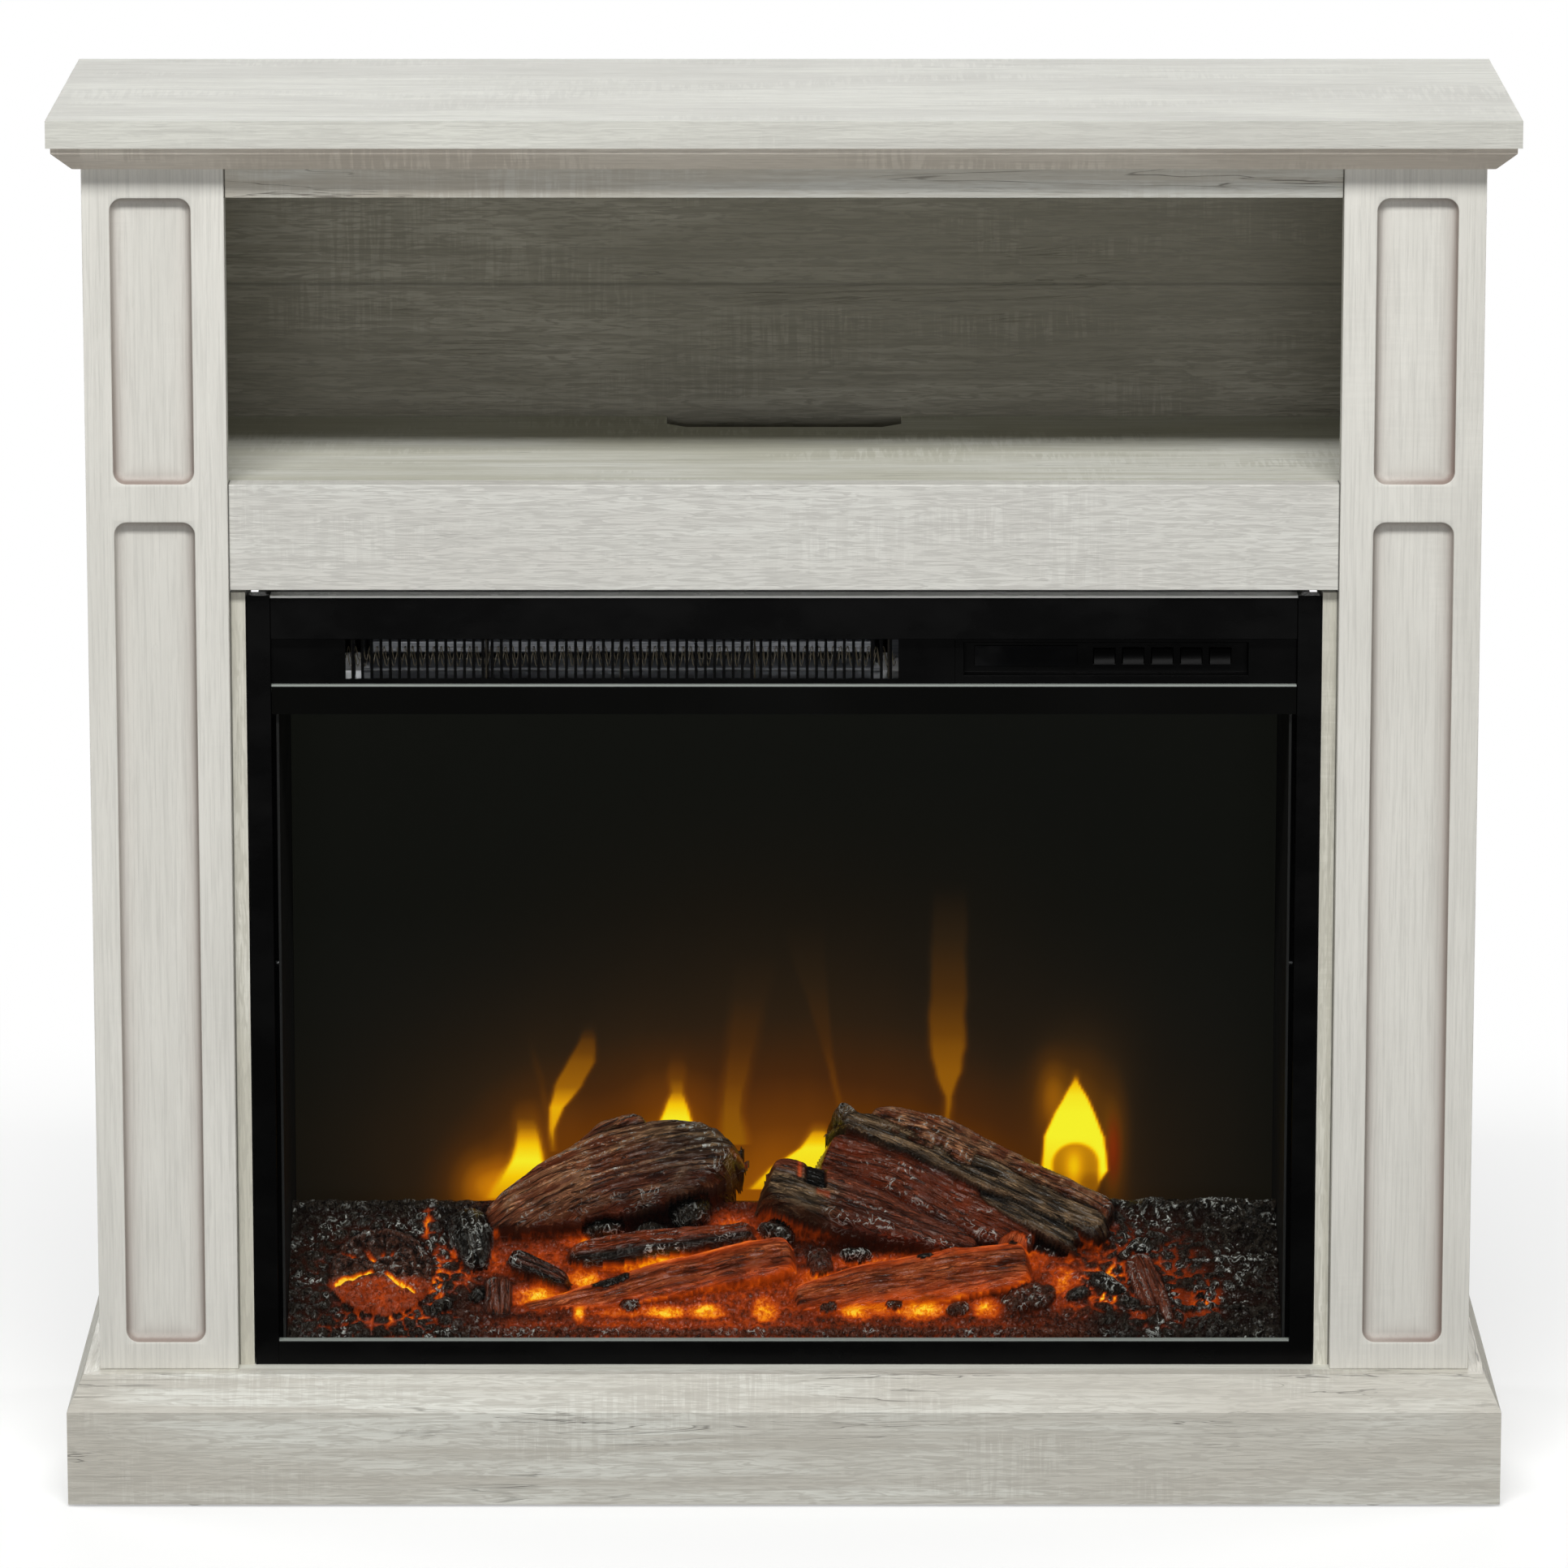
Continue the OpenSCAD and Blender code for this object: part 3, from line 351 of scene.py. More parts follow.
raw_board = chipboard()
zinc = sheet_metal("zinc_steel", srgb(188, 192, 196), srgb(150, 152, 156), 0.30, spots=0.4)
galvanised = sheet_metal("galvanised_sheet", srgb(176, 180, 184), srgb(140, 143, 148), 0.34, spots=0.8)
bright_sheet = sheet_metal("bright_sheet", srgb(214, 216, 218), srgb(182, 184, 188), 0.16, 0)
motor_can = sheet_metal("motor_can", srgb(120, 122, 126), srgb(84, 86, 90), 0.36, 0)
alloy = sheet_metal("impeller_alloy", srgb(168, 170, 174), srgb(128, 130, 134), 0.3, 0)
nichrome = coated("resistance_wire", srgb(168, 156, 132), srgb(140, 126, 100), 0.3, 400, 0.00005,
                  0.8, 0.5)
black_sheet = coated("black_sheet", srgb(22, 22, 22), srgb(34, 33, 31), 0.5, 900)
satin_frame = coated("black_satin_frame", srgb(5, 5, 5), srgb(11, 11, 10), 0.24, 1600, 0.00002,
                     0.08, 0.2)
# the fascia's top edge carries a painted highlight
fascia_coat = coated("fascia_coat", srgb(5, 5, 5), srgb(11, 11, 10), 0.24, 1600, 0.00002, 0.08, 0.2,
                     highlight_above=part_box("top_fascia")[1].z - 0.0012)
black_plastic = coated("black_plastic", srgb(4, 4, 4), srgb(8, 8, 7), 0.26, 1500, 0.00004, 0.06, 0.2)
phenolic = coated("phenolic", srgb(28, 26, 25), srgb(48, 44, 40), 0.45, 600)
lens = coated("tinted_lens", srgb(7, 7, 8), srgb(12, 12, 14), 0.08, 60, 0.00001, 0.4, 0.3)
caps = coated("button_plastic", srgb(6, 6, 6), srgb(12, 12, 11), 0.28, 1300, 0.00003, 0.08, 0.3)
nylon = coated("nylon", srgb(222, 220, 210), srgb(190, 186, 172), 0.45, 300, 0.00005, 0.4, 0.5)
mica = coated("mica", srgb(52, 46, 33), srgb(72, 62, 42), 0.5, 240, 0.0001, 0.3, 0.8)
led_board = coated("led_board", srgb(226, 226, 216), srgb(196, 190, 168), 0.35, 240, 0.00006, 0.4, 0.6)
pcb = circuit_board()
firebox_glass = glass()

finishes = {
    wood_top: ["mantel_top"],
    wood_crown: ["crown_front"],
    wood_crown_side: ["crown_left", "crown_right"],
    wood_rail: ["top_rail"],
    wood_apron: ["apron"],
    wood_shelf: ["shelf_board"],
    wood_back_shaded: ["back_panel"],
    wood_side: ["side_panel_left", "side_panel_right"],
    wood_jamb: ["jamb_left", "jamb_right"],
    wood_base: ["base_front"],
    wood_base_side: ["base_left", "base_right"],
    raw_board: ["base_board", "base_back_rail"],
    nylon: ["floor_glides"],
    zinc: ["cam_locks", "cam_bolts", "wall_brackets", "screws"],
    black_sheet: ["case_wrapper", "top_cover", "rear_cover", "firebox_liner", "insert_brackets"],
    satin_frame: ["trim_left", "trim_right", "trim_bottom"],
    fascia_coat: ["top_fascia"],
    black_plastic: ["outlet_grille", "control_bezel"],
    lens: ["display_window"],
    firebox_glass: ["glass_front"],
    led_board: ["ember_led_board", "flame_led_board"],
    bright_sheet: ["flame_mask", "flame_spindle"],
    galvanised: ["spindle_brackets", "heater_duct", "blower_housing"],
    motor_can: ["flame_motor", "blower_motor"],
    mica: ["mica_frame"],
    phenolic: ["thermal_cutout", "cord_gland"],
    alloy: ["blower_impeller"],
    pcb: ["control_board", "relay_board"],
    caps: ["button_power", "button_heat", "button_flame", "button_timer", "button_temperature"],
}


def dress(node, material):
    """Gives a CAD node its material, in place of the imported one."""
    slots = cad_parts[node].data.materials
    slots.clear()
    slots.append(material)


def soften(node, width):
    """Rounds a CAD node's edges a little, as modifiers, so that they catch the light."""
    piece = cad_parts[node]
    weld = piece.modifiers.new("weld", "WELD")
    weld.merge_threshold = 0.00001
    bevel = piece.modifiers.new("edges", "BEVEL")
    bevel.width = width
    bevel.segments = 2
    bevel.limit_method = "ANGLE"
    bevel.angle_limit = math.radians(35)
    bevel.harden_normals = False
    normals = piece.modifiers.new("normals", "WEIGHTED_NORMAL")
    normals.keep_sharp = True
    normals.weight = 80


for material, names in finishes.items():
    for name in names:
        dress(name, material)

for name in ["mantel_top", "crown_front", "crown_left", "crown_right", "top_rail", "apron",
             "shelf_board", "side_panel_left", "side_panel_right", "jamb_left", "jamb_right",
             "base_front", "base_left", "base_right"]:
    soften(name, 0.5 * MM)
for name in ["trim_left", "trim_right", "trim_bottom", "top_fascia", "control_bezel",
             "button_power", "button_heat", "button_flame", "button_timer", "button_temperature"]:
    soften(name, 0.35 * MM)


# --------------------------------------------------------------- Mesh helpers

def piece_from(name, points, faces, material, body, node, smooth=None):
    """Makes a mesh piece in the row frame that stands for a CAD node."""
    mesh = bpy.data.meshes.new(name)
    mesh.from_pydata([tuple(p) for p in points], [], [tuple(f) for f in faces])
    mesh.materials.append(material)
    mesh.validate()
    if smooth is not None:
        mesh.polygons.foreach_set("use_smooth", [True] * len(mesh.polygons))
        mesh.set_sharp_from_angle(angle=math.radians(smooth))
    piece = bpy.data.objects.new(name, mesh)
    scene.collection.objects.link(piece)
    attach(piece, body)
    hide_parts(node)
    return piece


def float_attribute(piece, name, values):
    attribute = piece.data.attributes.new(name, "FLOAT", "POINT")
    attribute.data.foreach_set("value", np.asarray(values, np.float32))


def colour_attribute(piece, name, colours):
    attribute = piece.data.attributes.new(name, "FLOAT_COLOR", "POINT")
    rgba = np.ones((len(colours), 4), np.float32)
    rgba[:, :3] = colours
    attribute.data.foreach_set("color", rgba.ravel())


# ------------------------------------------------------------------ Pilasters

PANEL_W = 48 * MM
PANEL_MARGIN = 15.6 * MM
PANEL_R = 8 * MM
# (bottom edge above the floor, height) of the two routed panels
PANELS = [(95 * MM, 495.8 * MM), (612.4 * MM, 169 * MM)]
CORNER_STEPS = 8
# The routed edge from the face inwards: (distance in from the edge, depth), in mm
COVE = [(0, 0), (0.25, 0.1), (0.6, 0.5), (0.8, 1.2), (1.0, 2.2), (1.5, 3.3), (2.3, 4.3), (3.3, 5.0),
        (4.4, 5.4), (5.5, 5.5), (7, 5.5), (9, 5.5), (12, 5.5), (16, 5.5)]


def rounded_ring(x0, x1, z0, z1, radius):
    """Points round a rectangle with rounded corners, corner by corner from the lower left."""
    ring = []
    corners = [(x0 + radius, z0 + radius, 180), (x1 - radius, z0 + radius, 270),
               (x1 - radius, z1 - radius, 0), (x0 + radius, z1 - radius, 90)]
    for cx, cz, start in corners:
        for i in range(CORNER_STEPS + 1):
            a = math.radians(start + 90 * i / CORNER_STEPS)
            ring.append((cx + radius * math.cos(a), cz + radius * math.sin(a)))
    return ring


def pilaster(side, sign):
    """A board with two coved, routed panels; sign is 1 on the right and -1 on the left."""
    node = "pilaster_" + side
    low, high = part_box(node)
    points, faces, glaze = [], [], []
    outer = high.x if sign > 0 else low.x
    panel = sorted((outer - sign * PANEL_MARGIN, outer - sign * (PANEL_MARGIN + PANEL_W)))
    margin = 1.2 * MM
    columns = [low.x, panel[0] - margin, panel[1] + margin, high.x]
    rows = [low.z]
    for bottom, height in PANELS:
        rows += [bottom - margin, bottom + height + margin]
    rows.append(high.z)

    def point(x, y, z, shade=0.0):
        points.append((x, y, z))
        glaze.append(shade)
        return len(points) - 1

    front = [[point(x, low.y, z) for x in columns] for z in rows]
    back = [[point(x, high.y, z) for x in columns] for z in rows]
    for r in range(len(rows) - 1):
        for c in range(3):
            if c != 1 or r % 2 == 0:
                faces.append((front[r][c], front[r][c + 1], front[r + 1][c + 1], front[r + 1][c]))
            faces.append((back[r][c], back[r + 1][c], back[r + 1][c + 1], back[r][c + 1]))
        faces.append((front[r][0], front[r + 1][0], back[r + 1][0], back[r][0]))
        faces.append((front[r][3], back[r][3], back[r + 1][3], front[r + 1][3]))
    for c in range(3):
        faces.append((front[0][c], back[0][c], back[0][c + 1], front[0][c + 1]))
        faces.append((front[-1][c], front[-1][c + 1], back[-1][c + 1], back[-1][c]))

    for index, (bottom, height) in enumerate(PANELS):
        r = 1 + 2 * index
        frame_corners = [front[r][1], front[r][2], front[r + 1][2], front[r + 1][1]]
        rings = []
        for inset, depth in COVE:
            d = inset * MM
            radius = max(PANEL_R - d, 1.2 * MM)
            outline = rounded_ring(panel[0] + d, panel[1] - d, bottom + d, bottom + height - d,
                                   radius)
            ring = []
            for x, z in outline:
                # the antique glaze gathers in the cove, most at the bottom and the right
                lean = 0.75 + 0.25 * math.sin(z * 37 + x * 90)
                corner = math.exp(-(z - bottom) / 0.05) * 0.35
                right = 0.2 * (x - panel[0]) / PANEL_W
                shade = 0.0 if inset < 0.5 else math.exp(-max(0.0, inset - 1.5) / 3.6)
                ring.append(point(x, low.y + depth * MM, z,
                                  min(1.0, shade * (0.62 * lean + corner + right))))
            rings.append(ring)
        count = len(rings[0])
        for a, b in zip(rings, rings[1:]):
            for i in range(count):
                j = (i + 1) % count
                faces.append((a[i], a[j], b[j], b[i]))
        faces.append(tuple(rings[-1]))
        arc = CORNER_STEPS + 1
        for k in range(4):
            corner = frame_corners[k]
            for i in range(k * arc, k * arc + CORNER_STEPS):
                faces.append((corner, rings[0][i + 1], rings[0][i]))
            end = rings[0][k * arc + CORNER_STEPS]
            start = rings[0][((k + 1) % 4) * arc]
            faces.append((corner, frame_corners[(k + 1) % 4], start, end))

    piece = piece_from("pilaster_board_" + side, points, faces, wood_stile, "cabinet", node,
                       smooth=40)
    mesh = bmesh.new()
    mesh.from_mesh(piece.data)
    bmesh.ops.recalc_face_normals(mesh, faces=mesh.faces)
    mesh.to_mesh(piece.data)
    mesh.free()
    float_attribute(piece, "glaze", glaze)
    bevel = piece.modifiers.new("edges", "BEVEL")
    bevel.width = 0.5 * MM
    bevel.segments = 2
    bevel.limit_method = "ANGLE"
    bevel.angle_limit = math.radians(60)
    return piece


pilaster("left", -1)
pilaster("right", 1)


# ---------------------------------------------------------------------- Noise

def lattice(seed):
    return np.random.default_rng(seed).random((256, 256))


def smooth_noise(x, y, seed):
    """Smooth noise from 0 to 1 with one bump per unit of x and of y."""
    table = lattice(seed)
    xi, yi = np.floor(x).astype(int), np.floor(y).astype(int)
    fx, fy = x - xi, y - yi
    fx, fy = fx * fx * (3 - 2 * fx), fy * fy * (3 - 2 * fy)
    a, b = table[xi & 255, yi & 255], table[(xi + 1) & 255, yi & 255]
    c, d = table[xi & 255, (yi + 1) & 255], table[(xi + 1) & 255, (yi + 1) & 255]
    return (a * (1 - fx) + b * fx) * (1 - fy) + (c * (1 - fx) + d * fx) * fy


def fractal(x, y, seed, octaves=3):
    """Smooth noise with finer and fainter noise on it, from 0 to 1."""
    total, size, weight = 0.0, 1.0, 0.0
    for octave in range(octaves):
        total = total + size * smooth_noise(x * 2 ** octave, y * 2 ** octave, seed + octave)
        weight += size
        size *= 0.5
    return total / weight


def crests(x, y, seed):
    """Noise with sharp crests, from 0 to 1."""
    return 1 - np.abs(2 * smooth_noise(x, y, seed) - 1)


def pebbles(x, y, seed):
    """Distances to the nearest and second nearest of one random point per unit square."""
    across, up = lattice(seed), lattice(seed + 1)
    xi, yi = np.floor(x).astype(int), np.floor(y).astype(int)
    near = np.full(x.shape, 9.0)
    second = np.full(x.shape, 9.0)
    for i in (-1, 0, 1):
        for j in (-1, 0, 1):
            cx, cy = xi + i, yi + j
            away = np.hypot(cx + across[cx & 255, cy & 255] - x, cy + up[cx & 255, cy & 255] - y)
            second = np.minimum(second, np.maximum(near, away))
            near = np.minimum(near, away)
    return near, second


def step(value, low, high):
    """0 below low, 1 above high, smooth between."""
    t = np.clip((value - low) / (high - low), 0, 1)
    return t * t * (3 - 2 * t)


def blurred(grid, cells):
    """A grid smoothed over a number of cells, by three passes of a box filter."""
    for _ in range(3):
        for axis in (0, 1):
            pad = [(0, 0), (0, 0)]
            pad[axis] = (cells + 1, cells)
            total = np.cumsum(np.pad(grid, pad, mode="edge"), axis=axis)
            high = [slice(None), slice(None)]
            low = [slice(None), slice(None)]
            high[axis] = slice(2 * cells + 1, None)
            low[axis] = slice(0, -2 * cells - 1)
            grid = (total[tuple(high)] - total[tuple(low)]) / (2 * cells + 1)
    return grid


# -------------------------------------------------------------------- Log bed
# The bed is one moulded shell that leans back. Its surface is drawn in its own plane, in mm:
# x across, up the slope, and height out of the slope, towards the glass.

LEAN = math.radians(35)
CELL = 1.0
bed_low, bed_high = (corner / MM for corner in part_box("log_bed"))
screen_low, screen_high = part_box("flame_screen")
foot_y, foot_z = bed_low.y + 1.9, bed_low.z + 0.5
rear_y = screen_low.y / MM - 12
BED_LENGTH = 172
SLOPE_TOP = 104
NOWHERE = -999.0  # a height below everything, where a shape is not

CHARCOAL = np.array(srgb(34, 32, 29)[:3])
SOOT = np.array(srgb(14, 12, 10)[:3])
BARK = np.array(srgb(96, 54, 35)[:3])
BARK_CREST = np.array(srgb(128, 96, 72)[:3])
RED_BARK = np.array(srgb(84, 44, 30)[:3])
PLANK = np.array(srgb(58, 49, 38)[:3])
PLANK_CREST = np.array(srgb(96, 82, 64)[:3])
TAN = np.array(srgb(92, 42, 20)[:3])
TAN_CREST = np.array(srgb(112, 64, 38)[:3])
EMBER = np.array(srgb(66, 28, 14)[:3])
CHARRED = dict(paint=SOOT, crest_paint=CHARCOAL, rough=0.26, fleck=1.0)


class Bed:
    """The log bed's surface: what lies highest at each point, with its paint and glow."""

    def __init__(self):
        columns = np.arange(bed_low.x, bed_high.x + CELL / 2, CELL)
        rows = np.arange(0, BED_LENGTH, CELL)
        self.x, self.up = np.meshgrid(columns, rows, indexing="ij")
        shape = self.x.shape
        self.height = np.zeros(shape)
        self.paint = np.zeros(shape + (3,))
        self.heat = np.zeros(shape)
        self.rough = np.full(shape, 0.5)
        self.fleck = np.zeros(shape)
        # where its fibres run: mm along them and across them; stones have short ones
        self.stone = (self.x * 7, self.up * 0.55)
        self.along, self.across = self.stone

    def lay(self, height, paint, heat=0.0, rough=0.5, fleck=0.0, grain=None):
        """Lays a shape on the bed: it shows wherever it is the highest."""
        shows = height > self.height
        self.height = np.where(shows, height, self.height)
        along, across = self.stone if grain is None else grain
        for name, value in (("heat", heat), ("rough", rough), ("fleck", fleck), ("along", along),
                            ("across", across)):
            setattr(self, name, np.where(shows, value, getattr(self, name)))
        self.paint = np.where(shows[..., None], paint, self.paint)

    def log(self, start, end, radii, seed, bark=1.5, width=2.6, length=22.0, square=2.0,
            ragged=0.0, bend=5.0, arch=0.0, taper=0.35):
        """A log from start to end, each (x, up, height of its axis), with its radii from one
        end to the other. Gives its height, the share of its length, the share of its half
        width from -1 to 1, and its bark's crests from 0 to 1."""
        (x0, u0, h0), (x1, u1, h1) = start, end
        run = math.hypot(x1 - x0, u1 - u0)
        ax, au = (x1 - x0) / run, (u1 - u0) / run
        along = (self.x - x0) * ax + (self.up - u0) * au
        across = (self.up - u0) * ax - (self.x - x0) * au
        share = np.clip(along / run, 0, 1)
        across = across + bend * (smooth_noise(along / 46, along * 0 + 0.5, seed) - 0.5)
        across = across - 4 * arch * share * (1 - share)
        over = np.maximum(-along, along - run)
        over = over + ragged * (fractal(across / 4.5, along / 9, seed + 5, 2) - 0.5)
        radius = np.interp(share, np.linspace(0, 1, len(radii)), radii)
        radius = radius * (1 - taper * np.clip(1 + over / (0.9 * max(radii)), 0, 1) ** 3)
        radius = radius + 3.0 * (fractal(along / 19, across / 26, seed + 1) - 0.5)
        turn = np.clip(across / radius, -1.2, 1.2)
        self.grain = (along, across + 37 * seed)
        warp = across + 2.4 * (fractal(along / 17, across / 7, seed + 2, 2) - 0.5)
        crest = crests(along / length, warp / width, seed + 3)
        crest = 0.7 * crest + 0.3 * crests(along / (length * 0.4), warp / (width * 0.5), seed + 4)
        bulge = np.clip(1 - np.abs(turn) ** square, 0, 1) ** (1 / 2.0)
        height = h0 + (h1 - h0) * share + radius * bulge + bark * (crest - 0.6) * (0.3 + 0.7 * bulge)
        height = height + 2.6 * (fractal(along / 16, across / 9, seed + 6, 2) - 0.5) * bulge
        height = height - np.where(over > 0, over * 5, 0)
        height = np.where((np.abs(turn) < 1) & (over < 7), height, NOWHERE)
        return height, share, turn, crest

    def lump(self, x, up, wide, tall, height, seed, angle=0.0, rough=1.6, square=2.4):
        """The height of a coal or a knot."""
        c, s = math.cos(math.radians(angle)), math.sin(math.radians(angle))
        a = (self.x - x) * c + (self.up - up) * s
        b = (self.up - up) * c - (self.x - x) * s
        edge = 0.35 * (fractal(self.x / 5, self.up / 5, seed) - 0.5)
        out = (np.abs(a / wide) ** square + np.abs(b / tall) ** square) ** (1 / square) + edge
        skin = rough * (crests(self.x / 3.6, self.up / 3.6, seed + 1) - 0.5)
        body = self.ground + height * np.sqrt(np.clip(1 - out ** 2, 0, 1)) + skin * (out < 0.9)
        return np.where(out < 1, body, NOWHERE)

    def bark_log(self, *where, crest_paint=BARK_CREST, paint=BARK, heat=0.0, rough=0.42,
                 fleck=0.0, **shape):
        """A log painted by its crests; where heat is above 0 it glows in its grooves."""
        height, _, _, crest = self.log(*where, **shape)
        self.lay(height, blend_paint(paint, crest_paint, step(crest, 0.45, 0.95)),
                 heat * (1.15 - 0.55 * crest), rough, fleck, self.grain)

    def settle(self):
        """Keeps the present surface as the ground that coals lie on."""
        self.ground = self.height.copy()


def blend_paint(a, b, share):
    share = np.clip(share, 0, 1)[..., None]
    return a * (1 - share) + b * share


# Where the lamps under the shell shine through: (x, up, half width, half height, strength)
HOT_SPOTS = [
    (-74, 58, 60, 7, 0.95), (-119, 48, 16, 8, 0.95), (-148, 35, 18, 8, 1.1), (-110, 75, 26, 5, 0.85),
    (-30, 82, 16, 13, 0.8), (-14, 68, 16, 10, 0.85), (-71, 25, 15, 5, 1.2), (-47, 25, 14, 6, 1.2),
    (-11, 27, 9, 10, 1.15), (-122, 25, 4, 8, 1.1), (-92, 25, 30, 6, 0.72), (20, 49, 16, 8, 0.85),
    (60, 60, 60, 6, 0.62), (44, 28, 13, 8, 1.2), (82, 26, 16, 7, 1.2), (121, 27, 9, 7, 1.15),
    (64, 27, 60, 7, 0.8), (150, 66, 14, 18, 0.6), (172, 46, 16, 18, 0.86), (196, 52, 12, 11, 0.9),
    (194, 34, 14, 7, 0.95), (222, 30, 22, 16, 0.5), (250, 34, 10, 12, 0.72), (-208, 44, 5, 22, 0.9),
    (-196, 58, 16, 16, 0.6), (-232, 20, 34, 7, 0.72), (-180, 60, 20, 10, 0.6), (-214, 86, 4, 12, 0.7),
    (-176, 84, 6, 8, 0.6), (0, 38, 175, 22, 0.42), (-60, 9, 110, 12, 0.7), (95, 9, 80, 11, 0.42),
    (-236, 14, 50, 10, 0.45), (10, 92, 40, 16, 0.42), (190, 72, 30, 18, 0.34),
    (-150, 62, 40, 16, 0.42), (-250, 50, 34, 28, 0.3), (225, 50, 30, 26, 0.36),
]


# The slope the coals lie on: (up, height) from the front strip to the edge at the back
SLOPE = [0, 10.6, SLOPE_TOP, SLOPE_TOP + 9], [0, 7.5, -23, -46]


def hot_map(x, up):
    """How strongly the lamps shine through at each point."""
    hot = np.zeros(x.shape)
    for hx, hup, wide, tall, strength in HOT_SPOTS:
        spot = strength * np.exp(-((x - hx) / wide) ** 2 - ((up - hup) / (1.15 * tall)) ** 2)
        hot = np.maximum(hot, spot)
    return hot


def lay_ground(bed, hot):
    """A slope of coals with rocky ends. Gives the height of the hidden skirt behind it."""
    x, up = bed.x, bed.up
    ground = np.interp(up, *SLOPE)
    skirt = (foot_y + up * math.sin(LEAN) - rear_y) / math.cos(LEAN)
    hidden = np.maximum(-46, skirt)
    ground = np.where(up > SLOPE_TOP + 9, hidden, ground)
    ends = step(np.abs(x + 3) + 26 * (fractal(x / 30, up / 24, 5) - 0.5), 158, 200)
    strip = step(up, 17, 11)
    near, second = pebbles(x / 9, up / 7.5, 11)
    coarse = 3.6 * (1 - near) * step(second - near, 0.0, 0.3)
    near_s, second_s = pebbles(x / 4.4, up / 3.8, 21)
    fine = 2.4 * (1 - near_s) * step(second_s - near_s, 0.0, 0.25)
    rocky = ends * (1 - strip)
    right = step(x, 60, 120)
    wide_curl = crests(x / 13 + 1.5 * fractal(x / 16, up / 14, 33), up / 11, 35) ** 3
    small_curl = crests(x / 7 + 1.2 * fractal(x / 9, up / 9, 36), up / 6, 38) ** 3
    smooth = 1 - 0.75 * step(hot, 0.35, 0.7) * (1 - ends)
    lumps = (coarse * (0.5 + 0.3 * ends) + fine * (0.45 + 0.55 * strip)) * smooth
    lumps = lumps + rocky * (6.0 * wide_curl * (0.3 + 0.7 * right) + 1.8 * small_curl)
    lumps = lumps + (1 + 3 * ends) * (fractal(x / 22, up / 17, 41) - 0.5)
    rim = 3.5 * np.exp(-((up - SLOPE_TOP + 3) / 4.5) ** 2) * ends
    on_slope = step(up, SLOPE_TOP + 7, SLOPE_TOP + 1)
    bed.height = ground + (lumps - 2.4 + rim) * on_slope * step(up, -2, 6)
    crevice = np.clip((blurred(bed.height, 3) - bed.height + 0.4) / 1.6, 0, 1)
    dark = np.maximum(ends, 0.65 * strip)
    tint = blend_paint(EMBER, RED_BARK * 0.8, strip)
    bed.paint = blend_paint(tint, CHARCOAL * 0.8, np.maximum(ends, 0.3 * strip))
    glow = hot * (0.68 + 0.5 * fractal(x / 6, up / 4, 51)) * (1 - 0.2 * strip)
    bed.heat = glow * (1 - dark * (1 - crevice) * 0.9) * (0.75 + 0.35 * crevice)
    bed.rough = 0.38 - 0.14 * dark
    bed.fleck = np.maximum(ends, 0.45 * strip) * step(fractal(x / 15, up / 12, 71), 0.38, 0.58)
    bed.settle()
    return hidden


def lay_disc(bed):
    """The sawn end of a log, sunk in the rocks on the left, with radial cracks."""
    x, up = bed.x, bed.up
    cx, cup, size = -241, 51, 31
    away = np.hypot(x - cx, (up - cup) * 1.02) / size + 0.10 * (fractal(x / 14, up / 14, 61) - 0.5)
    bearing = np.degrees(np.arctan2(up - cup, x - cx)) + 9 * (fractal(x / 8, up / 8, 63) - 0.5)
    disc = bed.ground + 8.5 * np.sqrt(np.clip(1 - np.clip(away, 0, 1) ** 5, 0, 1))
    disc = disc + 0.8 * np.sin(away * 30) * (away < 0.95) + 1.4 * (crests(x / 7, up / 7, 65) - 0.5)
    crack = np.zeros(x.shape)
    for aim, start, end, wide in [(196, 0.1, 0.98, 6), (322, 0.05, 0.86, 5), (124, 0.15, 0.9, 5),
                                  (84, 0.2, 0.95, 4), (60, 0.3, 0.7, 3), (150, 0.5, 1.0, 3)]:
        off = np.abs((bearing - aim + 180) % 360 - 180) * away * size / 57.3
        lit = step(off, wide * 0.42, 0.3) * step(away, start, start + 0.12) * step(away, end, end - 0.1)
        crack = np.maximum(crack, lit)
    lower = step(up, cup - 2, cup - 9)
    disc_paint = blend_paint(CHARCOAL, RED_BARK, 0.35 + 0.65 * lower)
    disc_heat = np.maximum(crack * step(up, cup + 20, cup + 2) * 1.0,
                           0.45 * lower * (1 - 0.3 * away) * (0.6 + 0.6 * fractal(x / 6, up / 6, 67)))
    rim = step(away, 0.84, 0.92) * step(up, cup + 5, cup + 16)
    bed.lay(np.where(away < 1, disc - 5.5 * crack + 1.2 * rim, NOWHERE), disc_paint, disc_heat, 0.3,
            np.maximum(0.3, rim))


